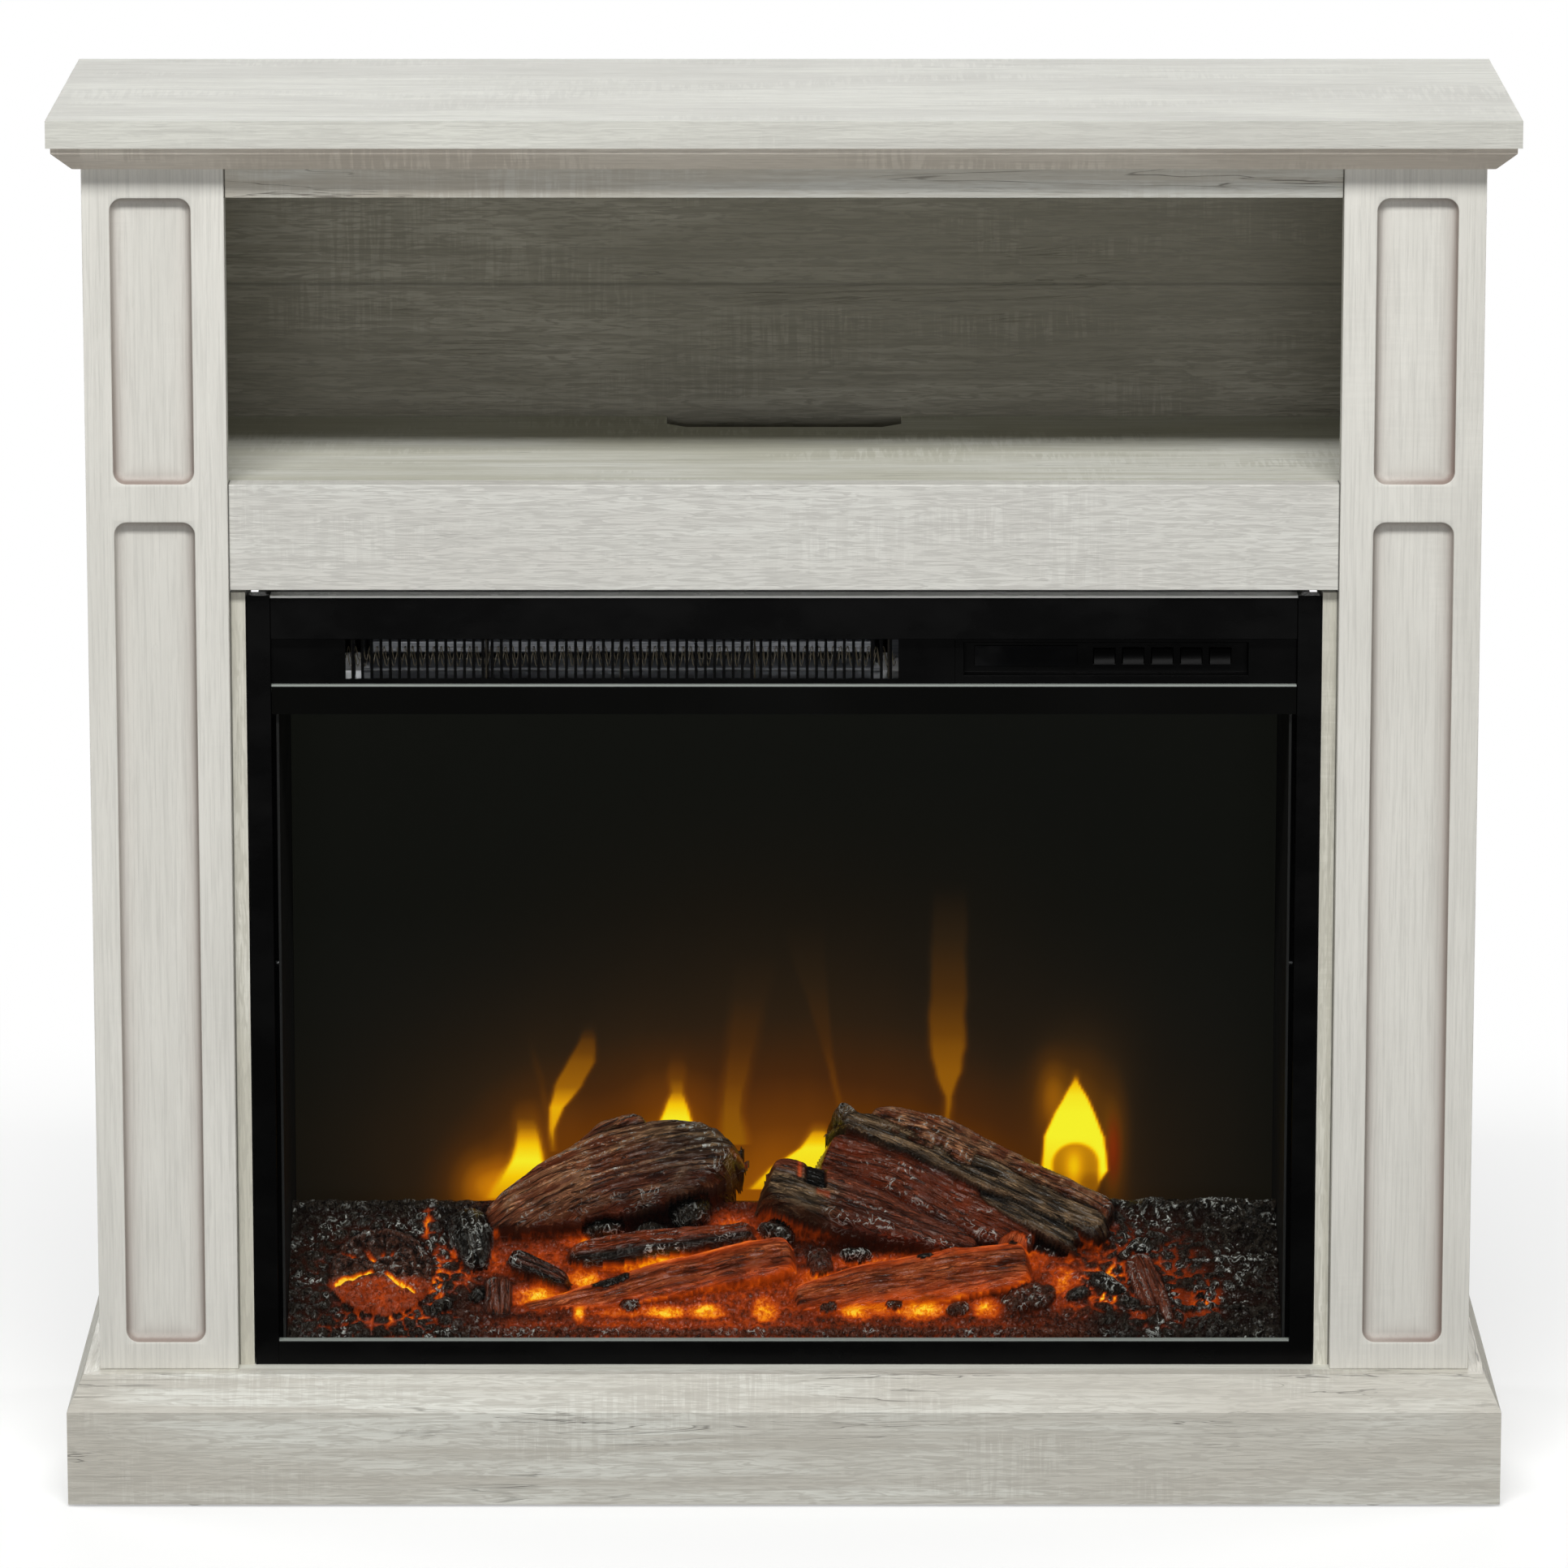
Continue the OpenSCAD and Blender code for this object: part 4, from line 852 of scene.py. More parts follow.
def lay_thin_logs(bed):
    """Bark, chips and stubs beside the disc, and the dark thin log."""
    bed.bark_log((-191, 93, -13), (-183, 55, -4), [13, 13, 7], 101, bark=2.4, **CHARRED)
    bed.bark_log((-186, 38, -2), (-181, 33, -1), [7, 6], 103, **CHARRED)
    bed.bark_log((-169, 46, -1), (-170, 22, 0), [7.5, 7.5], 105, paint=RED_BARK * 0.6,
                 crest_paint=RED_BARK, square=5, width=1.8, length=40, rough=0.35, fleck=0.25)

    # the dark thin log lies behind the left orange one, and a chip leans on it
    height, _, turn, crest = bed.log((-127, 60, 0), (-20, 77, 0), [7, 9, 8, 6], 111, bark=2.0,
                                     width=2.4, length=16, ragged=5)
    low_edge = step(turn, 0.05, -0.55)
    bed.lay(height, blend_paint(blend_paint(TAN * 0.55, TAN, crest), SOOT, low_edge),
            0.16 * (1 - low_edge), 0.36, 0.35 + 0.5 * low_edge, bed.grain)
    bed.bark_log((-163, 60, 1), (-130, 43, 5), [5.6, 5.6], 113, paint=SOOT,
                 crest_paint=RED_BARK * 0.7, square=6, width=3.2, length=50, bark=1.0, rough=0.3,
                 fleck=0.45, bend=0.5)


def lay_orange_logs(bed, hot):
    """The two orange logs at the front, which the lamps light from below."""
    x, up = bed.x, bed.up
    for where, radii, seed in [(((-158, 27, -4), (3, 60, 2)), [4, 8, 11, 12.5, 12.5], 121),
                               (((8, 34, -2), (144, 55, 1)), [10, 13, 15, 15.5, 14], 131)]:
        height, _, turn, crest = bed.log(*where, radii, seed, bark=1.6, width=2.3, length=26,
                                         taper=0.2)
        shine = 0.22 + 0.42 * step(turn, 0.3, 1.0) + 0.26 * step(turn, -0.45, -1.0)
        shine = shine + 0.22 * hot * step(np.abs(turn), 0.3, 0.9)
        shine = shine * (0.5 + 0.5 * step(crest, 0.15, 0.7))
        shine = shine * (0.75 + 0.5 * fractal(x / 14, up / 9, seed))
        bed.lay(height, blend_paint(TAN * 0.6, TAN_CREST, step(crest, 0.3, 0.95)), shine, 0.36, 0.16,
                bed.grain)
    height, _, turn, crest = bed.log((132, 60, 0), (140, 80, -7), [10, 7], 141, width=2.0)
    bed.lay(height, blend_paint(TAN, TAN_CREST, crest), 0.26 + 0.3 * step(turn, -0.2, -0.9), 0.4, 0.1,
            bed.grain)
    bed.settle()
    for kx, kup, wide, tall, tilt in [(-104, 44, 12, 4.5, 12), (84, 58, 5, 3, 10), (137, 66, 2.2, 2, 0)]:
        knot = bed.lump(kx, kup, wide, tall, 0.8, kx + 400, tilt, 0.4)
        bed.lay(knot, SOOT * 1.4, 0.0, 0.4, 0.2)


def lay_great_logs(bed):
    """The great logs at the back: the left one with its hump, the split one on the right."""
    x, up = bed.x, bed.up
    bed.bark_log((-130, 122, -2), (-84, 143, 4), [7, 13, 9], 151, crest_paint=BARK_CREST * 0.5,
                 paint=BARK * 0.7, rough=0.36, bark=1.4, length=14, fleck=0.25)
    height, share, turn, crest = bed.log((-180, 87, -9), (-30, 127, 9), [9, 20, 27, 25, 16], 161, arch=5,
                                         bark=4.2, width=4.2, length=26, ragged=13, bend=7, taper=0.5)
    char = step(share, 0.35, 0.9)
    tip = step(share, 0.93, 1.0)
    paint = blend_paint(BARK, PLANK * 0.8, char)
    paint = blend_paint(paint, RED_BARK * 0.7, step(turn, -0.1, -0.8) * 0.8)
    crest_paint = blend_paint(BARK_CREST, PLANK_CREST * 1.15, char)
    paint = blend_paint(paint, crest_paint, step(crest, 0.55, 0.95) * (1 - 0.5 * step(turn, 0.0, -0.8)))
    lit_end = tip * step(turn, -0.1, -0.5) * step(turn, -0.9, -0.6)
    # the tip is darkened towards soot black: painted shade in the hollow at the log's end
    bed.lay(height, blend_paint(paint, SOOT, tip * 0.8),
            (0.16 - 0.1 * char) * (1 - crest) + 0.22 * lit_end, 0.36, 0.3 + 0.2 * char, bed.grain)

    bed.bark_log((52, 145, -2), (194, 88, -8), [16, 20, 18, 15, 12], 181, paint=BARK * 0.85,
                 bark=2.4, crest_paint=BARK_CREST * 0.8, width=6.5, length=9, rough=0.34, fleck=0.4,
                 taper=0.2)
    bed.bark_log((28, 130, -6), (150, 77, -9), [14, 19, 17, 13], 191, paint=RED_BARK * 0.6,
                 bark=3.0, crest_paint=RED_BARK * 0.95, width=6, length=17, rough=0.32, fleck=0.4,
                 heat=0.16, taper=0.1)
    bed.bark_log((36, 148, 7), (190, 78, 4), [6.5, 9, 9.5, 8.5, 7.5], 201, paint=PLANK * 0.6,
                 bark=4.2, width=3.4, crest_paint=PLANK_CREST, length=44, square=5, ragged=10,
                 rough=0.34, bend=3, taper=0.1, fleck=0.2)
    bed.bark_log((104, 106, 2), (176, 69, 1), [4, 7, 5.5], 207, paint=PLANK * 0.45,
                 crest_paint=PLANK_CREST * 0.7, square=5, bark=3.0, width=2.8, length=40, ragged=14,
                 rough=0.34, bend=2, fleck=0.2)
    bed.ground = np.full(x.shape, 6.0)
    knob = bed.lump(37, 150, 8, 6, 12, 211, -25)
    bed.lay(knob, blend_paint(CHARCOAL, PLANK_CREST, fractal(x / 4, up / 4, 213)), 0.0, 0.32, 0.3)


def lay_block(bed):
    """The notched block in the middle, which turns into bark towards its tail."""
    x, up = bed.x, bed.up
    height, share, turn, crest = bed.log((-7, 105, 8), (114, 68, -4), [16, 17, 14, 9, 4], 221, bark=3.2,
                                         width=3.4, length=26, square=5, ragged=2, bend=1, taper=0.1)
    tail = step(share, 0.22, 0.4)
    face = blend_paint(PLANK * 0.8, PLANK_CREST, step(crest, 0.5, 0.95))
    face = blend_paint(face, blend_paint(RED_BARK * 0.6, RED_BARK, crest),
                       np.maximum(tail, step(turn, 0.0, 0.5)))

    def window(x0, x1, u0, u1):
        tilt = up + (x - x0) * 0.3
        return (step(x, x0 - 1, x0 + 1) * step(x, x1 + 1, x1 - 1)
                * step(tilt, u0 - 1, u0 + 1) * step(tilt, u1 + 1, u1 - 1))

    notch = window(13, 25, 100, 115)
    lamp = np.maximum(0.8 * window(8, 11, 103, 116), 0.5 * window(19, 28, 92, 97))
    face = blend_paint(face, SOOT, notch)
    bed.lay(height - 7 * notch - 2.0 * lamp, face, 0.5 * lamp + 0.10 * tail * (1 - crest), 0.4,
            0.75 * tail * step(turn, 0.6, -0.4), bed.grain)
    bed.ground = np.interp(up, *SLOPE)


def lay_coals(bed):
    """Loose coals, and bark that leans among the rocks on the right."""
    x, up = bed.x, bed.up
    for lx, lup, wide, tall, rise, tilt, shade in [
            (-57, 95, 13, 12, 19, 30, 0), (-109, 83, 13, 8, 14, 10, 0), (-80, 82, 9, 6, 9, 0, 0),
            (-5, 79, 12, 7, 15, -28, 0), (21, 59, 8, 10, 11, 15, 1), (43, 64, 10, 5, 10, 0, 0),
            (147, 34, 16, 9, 10, 14, 1), (193, 43, 12, 7, 9, -32, 0), (176, 37, 8, 5, 7, 20, 0),
            (206, 30, 7, 5, 6, -20, 0), (214, 71, 8, 6, 8, 0, 0), (-92, 29, 6, 4, 6, 0, 1),
            (104, 26, 7, 5, 6, 20, 1), (26, 29, 6, 5, 6, 0, 1), (66, 30, 5, 4, 5, 0, 1),
            (160, 72, 12, 7, 5, -20, 0), (-205, 28, 8, 5, 7, 30, 0)]:
        coal = bed.lump(lx, lup, wide, tall, rise, int(lx) + 700, tilt)
        paint = EMBER * 0.9 if shade else SOOT
        bed.lay(coal, blend_paint(paint, CHARCOAL, crests(x / 3, up / 3, 801)), 0.08 * shade, 0.24,
                1.0 - 0.6 * shade)

    bed.bark_log((212, 64, -10), (226, 15, 1), [8, 10, 9], 231, paint=RED_BARK * 0.5,
                 crest_paint=RED_BARK, width=1.9, length=44, bark=1.4, square=4, rough=0.34,
                 fleck=0.35, heat=0.12)
    bed.bark_log((243, 48, -6), (256, 22, 0), [3.5, 4], 237, width=2.4, length=30, **CHARRED)


def finish_surface(bed):
    """Moulding rounds the steps off. Grooves are darkened with painted shade, and crests lightened, partly
    dry paint and partly painted highlight.
    """
    rounded = blurred(bed.height, 2)
    steep = step(np.abs(bed.height - rounded), 4.0, 9.0) * step(rounded, -30, -24)
    bed.height = bed.height + (rounded - bed.height) * steep * 0.7
    rise = bed.height - blurred(bed.height, 2)
    groove = np.clip(-rise / 1.1, 0, 1)
    ridge = np.clip(rise / 0.8, 0, 1)
    sharp = bed.height - blurred(bed.height, 1)
    # painted shade in the grooves, and on the crests a lighter colour that is partly dry paint and partly
    # painted highlight
    bed.paint = bed.paint * (1 - 0.78 * groove + 0.5 * ridge)[..., None]
    bed.heat = bed.heat * (1 - 0.25 * ridge)
    bed.fleck = bed.fleck * np.clip((sharp - 0.04) / 0.24, 0, 1)
    # painted shade: the lower flank of a log is darkened, as it lies in its own shade
    wide = blurred(bed.height, 4)
    flank = np.clip(np.gradient(wide, CELL, axis=1) / 1.3, 0, 1) * step(bed.height, 6, 14)
    bed.paint = bed.paint * (1 - 0.3 * flank)[..., None]

    # nothing reaches the glass
    to_glass = (foot_y + bed.up * math.sin(LEAN) - bed_low.y + 0.6) / math.cos(LEAN)
    bed.height = np.minimum(bed.height, to_glass)


def build_bed():
    """Lays everything on the bed in turn, from the ground up."""
    bed = Bed()
    hot = hot_map(bed.x, bed.up)
    hidden = lay_ground(bed, hot)
    lay_disc(bed)
    lay_thin_logs(bed)
    lay_orange_logs(bed, hot)
    lay_great_logs(bed)
    lay_block(bed)
    lay_coals(bed)
    finish_surface(bed)
    return bed, hidden


def moulded_paint():
    """Painted, backlit moulding: its colour, glow and gloss come from the mesh, and fine grain, pale flecks
    and dust are added over them. The fibres' crests get a painted highlight and their furrows painted
    shade; the pale flecks are partly dry-brushed paint and partly painted highlights."""
    look = Look("moulded_logs")
    skin = look.noise((520, 520, 520), 1.0, 4, 0.6)
    blotch = look.noise((60, 60, 60), 2.0, 4, 0.6)
    curl = look.noise((135, 120, 120), 3.0, 2.5, 0.5, 1.6)
    patch = look.noise((48, 48, 48), 4.0, 2)
    grain = look.add("ShaderNodeCombineXYZ", [
        look.math("MULTIPLY", look.attribute("along"), 0.06),
        look.math("MULTIPLY", look.attribute("across"), 0.62)])
    fibres = look.noise_at(grain, 4.0, 0.6, 0.8)
    crest = look.math("MULTIPLY", look.line(fibres, 0.06), look.ramp(patch, 0.36, 0.6, 0.45, 1.0))
    furrow = look.ramp(fibres, 0.36, 0.46, 1.0, 0.0)
    stroke = look.ramp(look.away_from(curl, 0.52), 0.01, 0.05, 1.0, 0.0)
    brushed = look.product(stroke, look.ramp(patch, 0.46, 0.56, 0.1, 1.0),
                           look.ramp(look.attribute("fleck"), 0.1, 0.45))
    paint = look.tinted(look.attribute("paint", "Color"), (0.95, 0.78, 0.68, 1))
    bright = look.tinted(paint, (4.2, 4.5, 4.6, 1))
    # painted shade: the furrows between the fibres go nearly black
    paint = look.mix(look.math("MULTIPLY", furrow, 0.85), paint, (0.003, 0.002, 0.002, 1))
    # painted highlight: a thin bright line along the fibres' crests
    paint = look.mix(look.math("MULTIPLY", crest, 0.8), paint, bright)
    paint = look.mix(look.ramp(blotch, 0.4, 0.7, 0.0, 0.45), paint,
                     look.tinted(paint, (0.45, 0.42, 0.40, 1)))
    paint = look.mix(look.ramp(skin, 0.55, 0.8, 0.0, 0.15), paint, srgb(96, 84, 70))
    # pale flecks, partly dry-brushed paint and partly painted highlights
    paint = look.mix(look.math("MULTIPLY", brushed, 0.85), paint, srgb(214, 216, 212))
    heat = look.product(look.attribute("ember_glow"), look.ramp(blotch, 0.25, 0.75, 1.15, 0.8),
                        look.ramp(fibres, 0.36, 0.60, 0.86, 1.18))
    ember = look.colours(heat, [
        (0.0, (0, 0, 0, 1)), (0.12, srgb(36, 9, 2)), (0.3, srgb(112, 35, 3)), (0.5, srgb(170, 60, 4)),
        (0.66, srgb(210, 94, 5)), (0.8, srgb(242, 132, 6)), (0.92, srgb(253, 164, 12)),
        (1.0, srgb(255, 206, 44))])
    relief = look.sum((skin, 0.3), (curl, 0.5), (crest, 0.5), (furrow, -0.6), (brushed, 0.3))
    return look.output(look.principled(
        Base_Color=paint, Roughness=look.math("ADD", look.attribute("rough"),
                                              look.ramp(skin, 0.3, 0.8, -0.08, 0.1)),
        Specular_IOR_Level=0.32, Emission_Color=ember, Emission_Strength=1.0,
        Normal=look.bump(relief, 0.0018, 0.9)))


def log_bed():
    bed, hidden = build_bed()
    inner = bed.height > hidden + 0.5
    inner |= bed.up < SLOPE_TOP + 6
    y = foot_y + bed.up * math.sin(LEAN) - bed.height * math.cos(LEAN)
    z = foot_z + bed.up * math.cos(LEAN) + bed.height * math.sin(LEAN)
    z = np.maximum(z, bed_low.z)

    # one cell beyond the edge, the shell turns back from the viewer
    count, sum_y, sum_z = (np.zeros(inner.shape) for _ in range(3))
    for axis, shift in ((0, 1), (0, -1), (1, 1), (1, -1)):
        beside = np.roll(inner, shift, axis)
        edge = [slice(None), slice(None)]
        edge[axis] = 0 if shift == 1 else -1
        beside[tuple(edge)] = False
        count += beside
        sum_y += beside * np.roll(y, shift, axis)
        sum_z += beside * np.roll(z, shift, axis)
    skirt = ~inner & (count > 0)
    near = inner | skirt
    y = np.where(skirt, np.minimum(sum_y / np.maximum(count, 1) + 14, rear_y), y)
    z = np.where(skirt, np.maximum(sum_z / np.maximum(count, 1) - 3.5, bed_low.z), z)
    kept = np.flatnonzero(near.ravel())
    number = np.full(near.size, -1)
    number[kept] = np.arange(len(kept))
    number = number.reshape(near.shape)
    a, b = number[:-1, :-1].ravel(), number[1:, :-1].ravel()
    c, d = number[1:, 1:].ravel(), number[:-1, 1:].ravel()
    whole = (a >= 0) & (b >= 0) & (c >= 0) & (d >= 0)
    points = np.stack([bed.x.ravel(), y.ravel(), z.ravel()], 1)[kept] * MM
    faces = np.stack([a, b, c, d], 1)[whole]
    piece = piece_from("moulded_log_bed", points, faces, moulded_paint(), "cabinet", "log_bed")
    piece.data.polygons.foreach_set("use_smooth", [True] * len(piece.data.polygons))
    colour_attribute(piece, "paint", bed.paint.reshape(-1, 3)[kept])
    # "heat" itself would name a volume field
    for name, values in (("ember_glow", bed.heat), ("rough", bed.rough), ("fleck", bed.fleck),
                         ("along", bed.along), ("across", bed.across)):
        float_attribute(piece, name, values.ravel()[kept])
    print("log bed", len(faces), "faces")


log_bed()


# --------------------------------------------------------------------- Flames
# Flames thrown on the screen, drawn in mm: x across and z above the floor.

def flame_light(x, z):
    """How bright the fire looks on the screen, from 0 to 1, and how red it is."""
    light = 0.50 * np.exp(-(np.abs(x + 8) / 190) ** 2.6 - ((z - 140) / 85) ** 2)
    light = light + 0.05 * np.exp(-((x - 10) / 150) ** 2 - ((z - 250) / 90) ** 2)
    amber = step(light, 0.03, 0.3) * 0.35
    for cx, cz, wide, tall, strength in [
            (-178, 154, 22, 20, 0.40), (-150, 185, 30, 34, 0.10), (-66, 205, 24, 26, 0.12),
            (162, 212, 9, 22, 0.22), (178, 205, 24, 36, 0.26)]:
        light = light + strength * np.exp(-((x - cx) / wide) ** 2 - ((z - cz) / tall) ** 2)
    light = light * (0.88 + 0.24 * fractal(x / 30, z / 70, 901))

    def tongue(rows, soft):
        """A tongue of flame from (z, left, right, strength) rows, with its edges' softness."""
        heights, left, right, strength = zip(*rows)
        wave = 1.6 * (fractal(z / 13, x * 0 + rows[0][1], 911, 2) - 0.5)
        left = np.interp(z, heights, left) + wave
        right = np.interp(z, heights, right) + wave
        body = step(x, left - soft, left + soft * 0.6) * step(x, right + soft, right - soft * 0.6)
        return np.interp(z, heights, strength, left=0.0, right=0.0) * body

    flames = np.zeros_like(x)
    for rows, soft in [
            # far left, a column that spreads along the log, and an S-shaped tongue beside it
            ([(146, -180, -138, 0.66), (158, -173, -142, 0.82), (170, -166, -146, 0.98),
              (180, -164, -148, 0.84), (190, -163, -149, 0.56), (200, -163, -150, 0.28),
              (211, -162, -152, 0)], 4.5),
            ([(176, -141, -139, 0.5), (190, -143, -139, 0.72), (203, -143, -134, 0.76),
              (217, -139, -122, 0.52), (232, -131, -114, 0.44), (245, -124, -114, 0.3),
              (258, -120, -115, 0)], 3),
            ([(195, -143, -140, 0.2), (225, -150, -147, 0.18), (250, -156, -153, 0)], 2),
            # behind the left log
            ([(186, -79, -54, 1.0), (197, -75, -57, 0.96), (205, -72, -59, 0.84),
              (213, -69, -61, 0.55), (225, -70, -60, 0.3), (240, -68, -61, 0)], 3),
            ([(180, -39, -23, 0.5), (200, -38, -25, 0.46), (215, -37, -23, 0.4), (235, -35, -18, 0.28),
              (265, -32, -12, 0.15), (300, -28, -4, 0)], 5),
            # in the gap between the logs
            ([(152, -22, 20, 0.72), (166, -8, 24, 0.92), (178, 10, 27, 0.96), (187, 16, 27, 0.7),
              (196, 19, 26, 0)], 4),
            ([(196, 34, 36, 0.42), (220, 29, 32, 0.34), (250, 21, 28, 0.2), (287, 8, 25, 0.1),
              (320, 0, 24, 0)], 2),
            # the tall one
            ([(186, 98, 101, 0.5), (210, 97, 102, 0.5), (225, 92, 108, 0.48), (242, 88, 110, 0.42),
              (267, 88, 110, 0.28), (300, 89, 110, 0.15), (345, 90, 110, 0)], 4),
            # the bright teardrop on the right
            ([(146, 168, 188, 0.7), (157, 163, 192, 0.75), (164, 156, 196, 0.9), (185, 158, 194, 1.0),
              (200, 164, 188, 1.0), (211, 170, 183, 0.95), (219, 175, 179, 0.8), (228, 176, 178, 0)], 2.5)]:
        flames = np.maximum(flames, tongue(rows, soft))
    # an arch at its foot, with a core inside
    arch = step(np.hypot((x - 177) / 14, np.maximum(z - 168, 0) / 13), 1.12, 0.88)
    core = np.exp(-((x - 176) / 5) ** 2) * step(z, 182, 166)
    flames = flames * (1 - arch * (0.36 - 0.26 * core))
    edge = 0.24 * np.exp(-((x - 200) / 7) ** 2 - ((z - 176) / 30) ** 2)
    red = np.maximum(amber, step(edge, 0.06, 0.26)) * (1 - step(flames, 0.2, 0.6))
    return np.clip(np.maximum(light + 0.3 * flames * (1 - light), flames) + edge, 0, 1), red


def screen_look():
    """Tinted acrylic with flames on it; beyond them it is a dim grey-green."""
    look = Look("flame_screen")
    cloud = look.noise((4, 4, 5), 2.0, 3)
    grain = look.noise((900, 900, 900), 1.0, 2)
    fire = look.colours(look.attribute("fire"), [
        (0.0, srgb(11, 12, 8)), (0.12, srgb(42, 28, 11)), (0.24, srgb(70, 41, 6)),
        (0.38, srgb(108, 64, 2)), (0.54, srgb(162, 101, 1)), (0.70, srgb(227, 156, 1)),
        (0.85, srgb(255, 206, 3)), (1.0, srgb(255, 248, 42))])
    fire = look.mix(look.attribute("red"), fire, look.tinted(fire, (1.0, 0.3, 0.4, 1)))
    dim = look.mix(look.ramp(cloud, 0.4, 0.7, 0.0, 0.35), fire, srgb(8, 9, 7))
    shown = look.mix(look.ramp(look.attribute("fire"), 0.05, 0.2), dim, fire)
    return look.output(look.principled(
        Base_Color=srgb(6, 6, 6), Roughness=look.ramp(grain, 0.3, 0.7, 0.4, 0.5),
        Specular_IOR_Level=0.05, Emission_Color=shown, Emission_Strength=1.0,
        Normal=look.bump(grain, 0.00002, 0.3)))


def flame_screen():
    low, high = screen_low, screen_high
    across = np.linspace(low.x, high.x, 396)
    rise = np.concatenate([np.linspace(low.z, 0.140, 10), np.arange(0.1415, 0.300, 0.0014),
                           np.linspace(0.302, high.z, 46)])
    gx, gz = np.meshgrid(across, rise, indexing="ij")
    n, m = gx.shape
    points = np.stack([gx.ravel(), np.full(gx.size, low.y), gz.ravel()], 1)
    index = np.arange(n * m).reshape(n, m)
    faces = np.stack([index[:-1, :-1].ravel(), index[1:, :-1].ravel(), index[1:, 1:].ravel(),
                      index[:-1, 1:].ravel()], 1).tolist()
    rim = list(index[:, 0]) + list(index[-1, 1:]) + list(index[-2::-1, -1]) + list(index[0, -2:0:-1])
    back = np.array([(points[i][0], high.y, points[i][2]) for i in rim])
    start = len(points)
    points = np.concatenate([points, back])
    count = len(rim)
    for i in range(count):
        j = (i + 1) % count
        faces.append((rim[j], rim[i], start + i, start + j))
    faces.append(tuple(start + count - 1 - i for i in range(count)))
    piece = piece_from("flame_screen_panel", points, faces, screen_look(), "cabinet", "flame_screen")
    fire, red = flame_light(points[:, 0] / MM, points[:, 2] / MM)
    float_attribute(piece, "fire", fire)
    float_attribute(piece, "red", red)


flame_screen()


# ---------------------------------------------------------------------- Coils

def coils():
    """The four resistance-wire coils, wound as they are, in place of their outer shapes."""
    low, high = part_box("heating_coil")
    radius, wire, pitch = 3.9 * MM, 0.3 * MM, 4.2 * MM
    turn_steps, sides = 14, 5
    reach = 4.2 * MM
    points, faces = [], []
    length = high.x - low.x - 2 * wire
    steps = int(length / pitch * turn_steps)
    for cy in (low.y + reach, high.y - reach):
        for cz in (low.z + reach, high.z - reach):
            start = len(points)
            for i in range(steps + 1):
                a = 2 * math.pi * i / turn_steps
                centre = Vector((low.x + wire + length * i / steps, cy + radius * math.cos(a),
                                 cz + radius * math.sin(a)))
                out = Vector((0, math.cos(a), math.sin(a)))
                for k in range(sides):
                    b = 2 * math.pi * k / sides
                    points.append(centre + wire * (out * math.cos(b) + Vector((math.sin(b), 0, 0))))
            for i in range(steps):
                for k in range(sides):
                    n = (k + 1) % sides
                    p, q = start + i * sides, start + (i + 1) * sides
                    faces.append((p + k, q + k, q + n, p + n))
            faces.append(tuple(start + k for k in range(sides)))
            faces.append(tuple(start + steps * sides + sides - 1 - k for k in range(sides)))
    piece_from("wound_heating_coils", points, faces, nichrome, "cabinet", "heating_coil",
               smooth=60)


coils()


# -------------------------------------------------------------- Camera, light

def area_light(name, place, target, wide, tall, power, tint=(1, 1, 1)):
    data = bpy.data.lights.new(name, "AREA")
    data.shape = "RECTANGLE"
    data.size, data.size_y = wide, tall
    data.energy = power
    data.color = tint
    lamp = bpy.data.objects.new(name, data)
    lamp.location = place
    lamp.rotation_euler = (Vector(target) - Vector(place)).to_track_quat("-Z", "Y").to_euler()
    lamp.visible_camera = False
    scene.collection.objects.link(lamp)
    return lamp


def place_camera():
    """A long lens, far off and a little above, as in the photograph."""
    camera_data = bpy.data.cameras.new("camera")
    camera_data.lens = 212
    camera_data.clip_start, camera_data.clip_end = 0.1, 60
    camera = bpy.data.objects.new("camera", camera_data)
    camera.location = (0, -5.4, 1.58)
    camera.rotation_euler = (math.radians(90 - 12.22), 0, 0)
    scene.collection.objects.link(camera)
    scene.camera = camera


def place_lamps():
    """A high soft key in front, a low fill, and lamps that lift the sides and the back."""
    middle = (0, -0.1, 0.45)
    area_light("key", (-0.15, -3.05, 4.45), middle, 3.1, 0.86, 258)
    area_light("front", (0, -4.2, 0.85), middle, 2.4, 0.8, 38)
    area_light("side_left", (-3.2, 0.9, 1.0), middle, 1.4, 1.4, 48)
    area_light("side_right", (3.2, 0.9, 1.0), middle, 1.4, 1.4, 48)
    area_light("rear", (0, 3.4, 1.0), middle, 2.4, 1.2, 50)


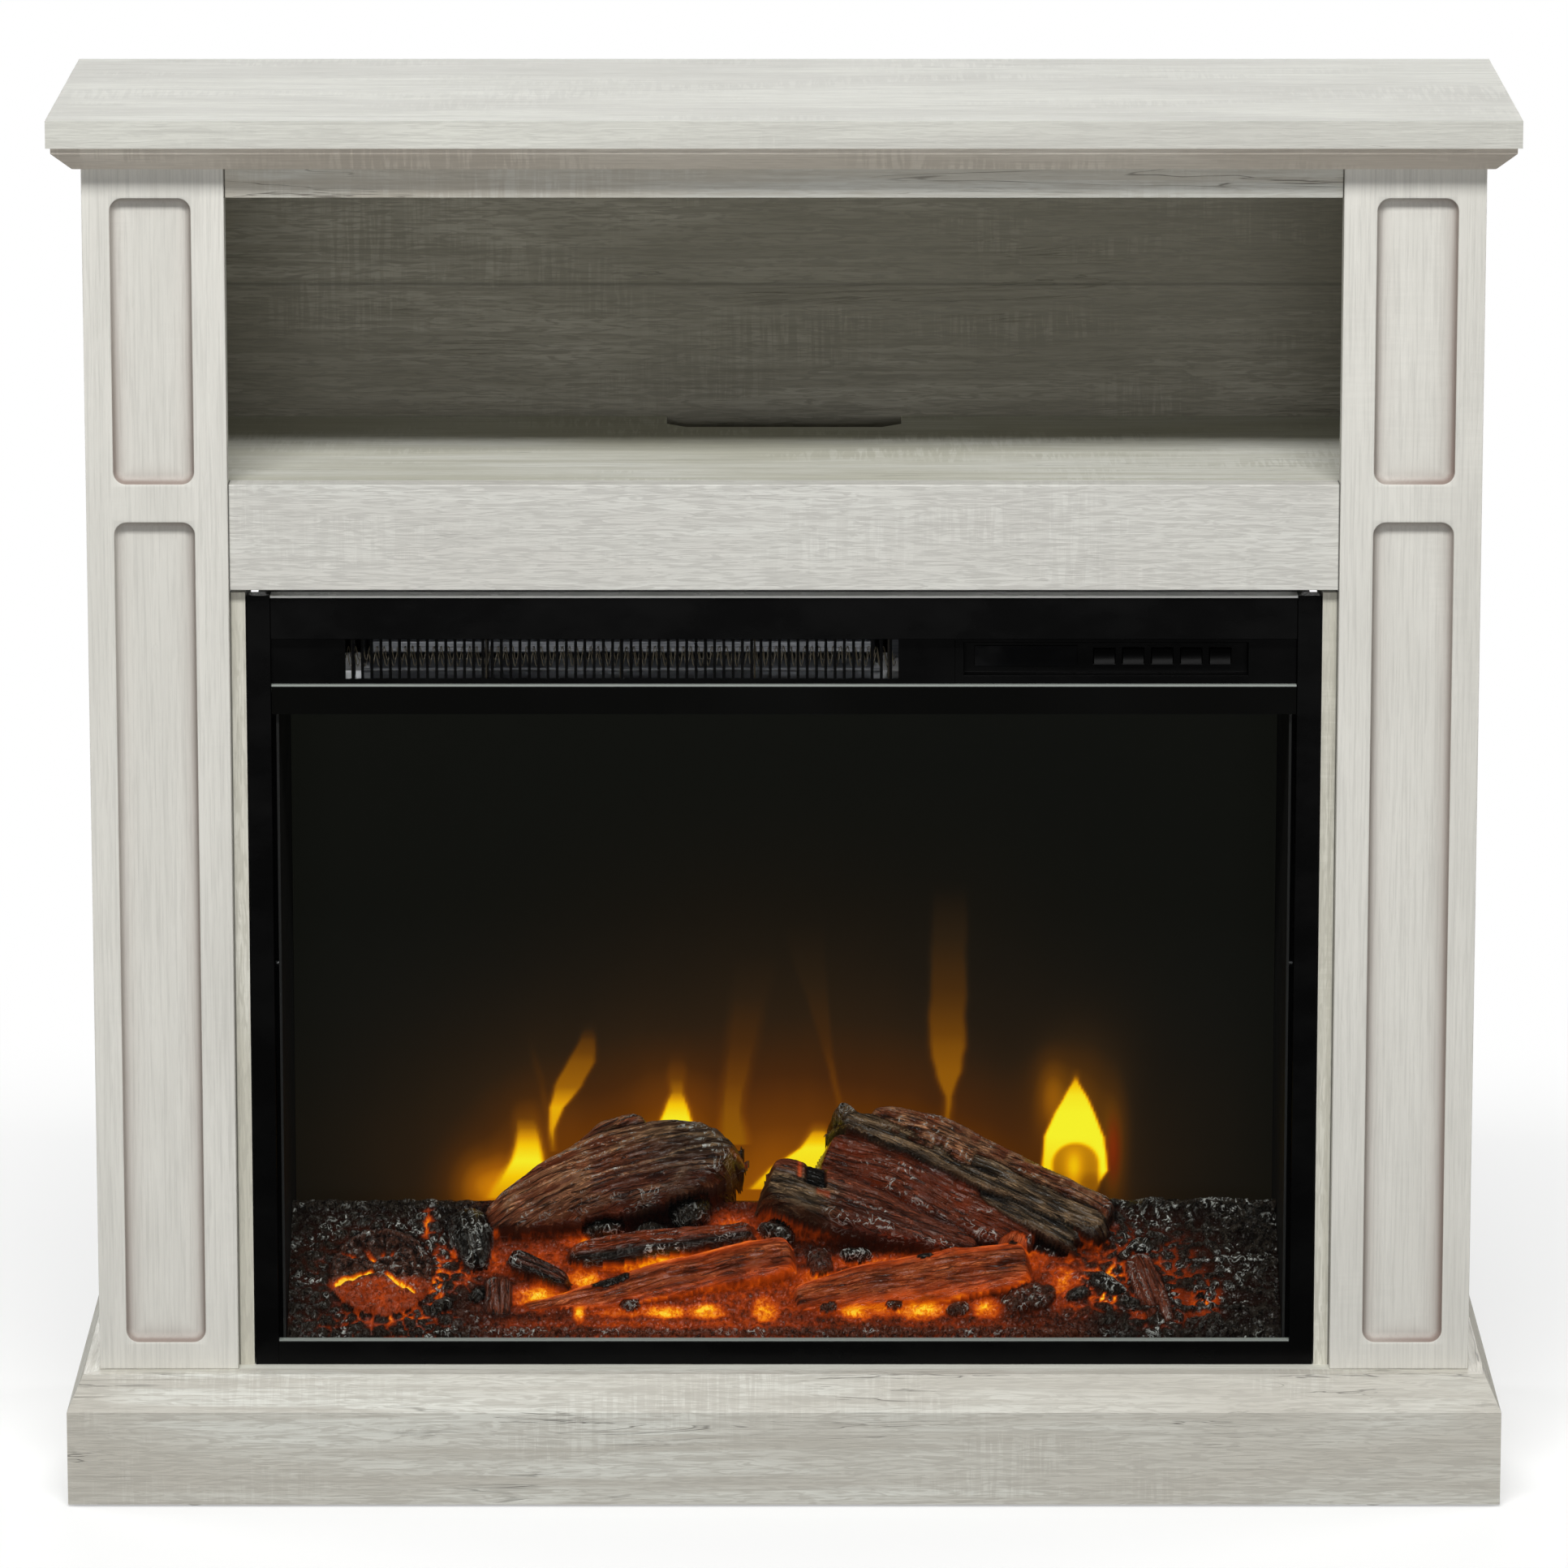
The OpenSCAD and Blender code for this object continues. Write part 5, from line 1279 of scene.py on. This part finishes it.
def light_world():
    """White to the camera, and almost dark to everything else."""
    world = bpy.data.worlds.new("studio")
    scene.world = world
    world.use_nodes = True
    tree = world.node_tree
    tree.nodes.clear()
    path = tree.nodes.new("ShaderNodeLightPath")
    seen = tree.nodes.new("ShaderNodeBackground")
    seen.inputs[0].default_value = (1, 1, 1, 1)
    seen.inputs[1].default_value = 1.0
    felt = tree.nodes.new("ShaderNodeBackground")
    felt.inputs[0].default_value = (0.95, 0.98, 1, 1)
    felt.inputs[1].default_value = 0.04
    mix = tree.nodes.new("ShaderNodeMixShader")
    out = tree.nodes.new("ShaderNodeOutputWorld")
    tree.links.new(path.outputs["Is Camera Ray"], mix.inputs[0])
    tree.links.new(felt.outputs[0], mix.inputs[1])
    tree.links.new(seen.outputs[0], mix.inputs[2])
    tree.links.new(mix.outputs[0], out.inputs[0])


def lay_floor():
    """The floor looks white, and far from the object it blends into the white behind it, but
    it throws less light back, as a floor outside the lamps' pool does."""
    look = Look("floor")
    smudge = look.noise((0.9, 0.9, 0.9), 1.0, 3)
    white = look.mix(look.ramp(smudge, 0.3, 0.7), (0.95, 0.95, 0.94, 1), (0.93, 0.93, 0.92, 1))
    camera_ray = look.add("ShaderNodeLightPath", output="Is Camera Ray")
    away = look.add("ShaderNodeVectorMath", [look.place], "Value", operation="LENGTH")
    far = look.ramp(away, 0.35, 1.6, 0.45, 1.0)
    paper = look.principled(Base_Color=look.mix(camera_ray, (0.27, 0.27, 0.27, 1), white),
                            Roughness=0.9, Specular_IOR_Level=0.1)
    matte = look.output(look.mix_shaders(look.math("MULTIPLY", camera_ray, far), paper,
                                         look.add("ShaderNodeEmission")))
    mesh = bpy.data.meshes.new("floor")
    reach = 14.0
    mesh.from_pydata([(-reach, -reach, 0), (reach, -reach, 0), (reach, reach, 0), (-reach, reach, 0)],
                     [], [(0, 1, 2, 3)])
    mesh.materials.append(matte)
    floor = bpy.data.objects.new("floor", mesh)
    scene.collection.objects.link(floor)
    floor.visible_glossy = False


place_camera()
place_lamps()
light_world()
lay_floor()
scene.view_settings.view_transform = "Standard"
scene.view_settings.look = "None"
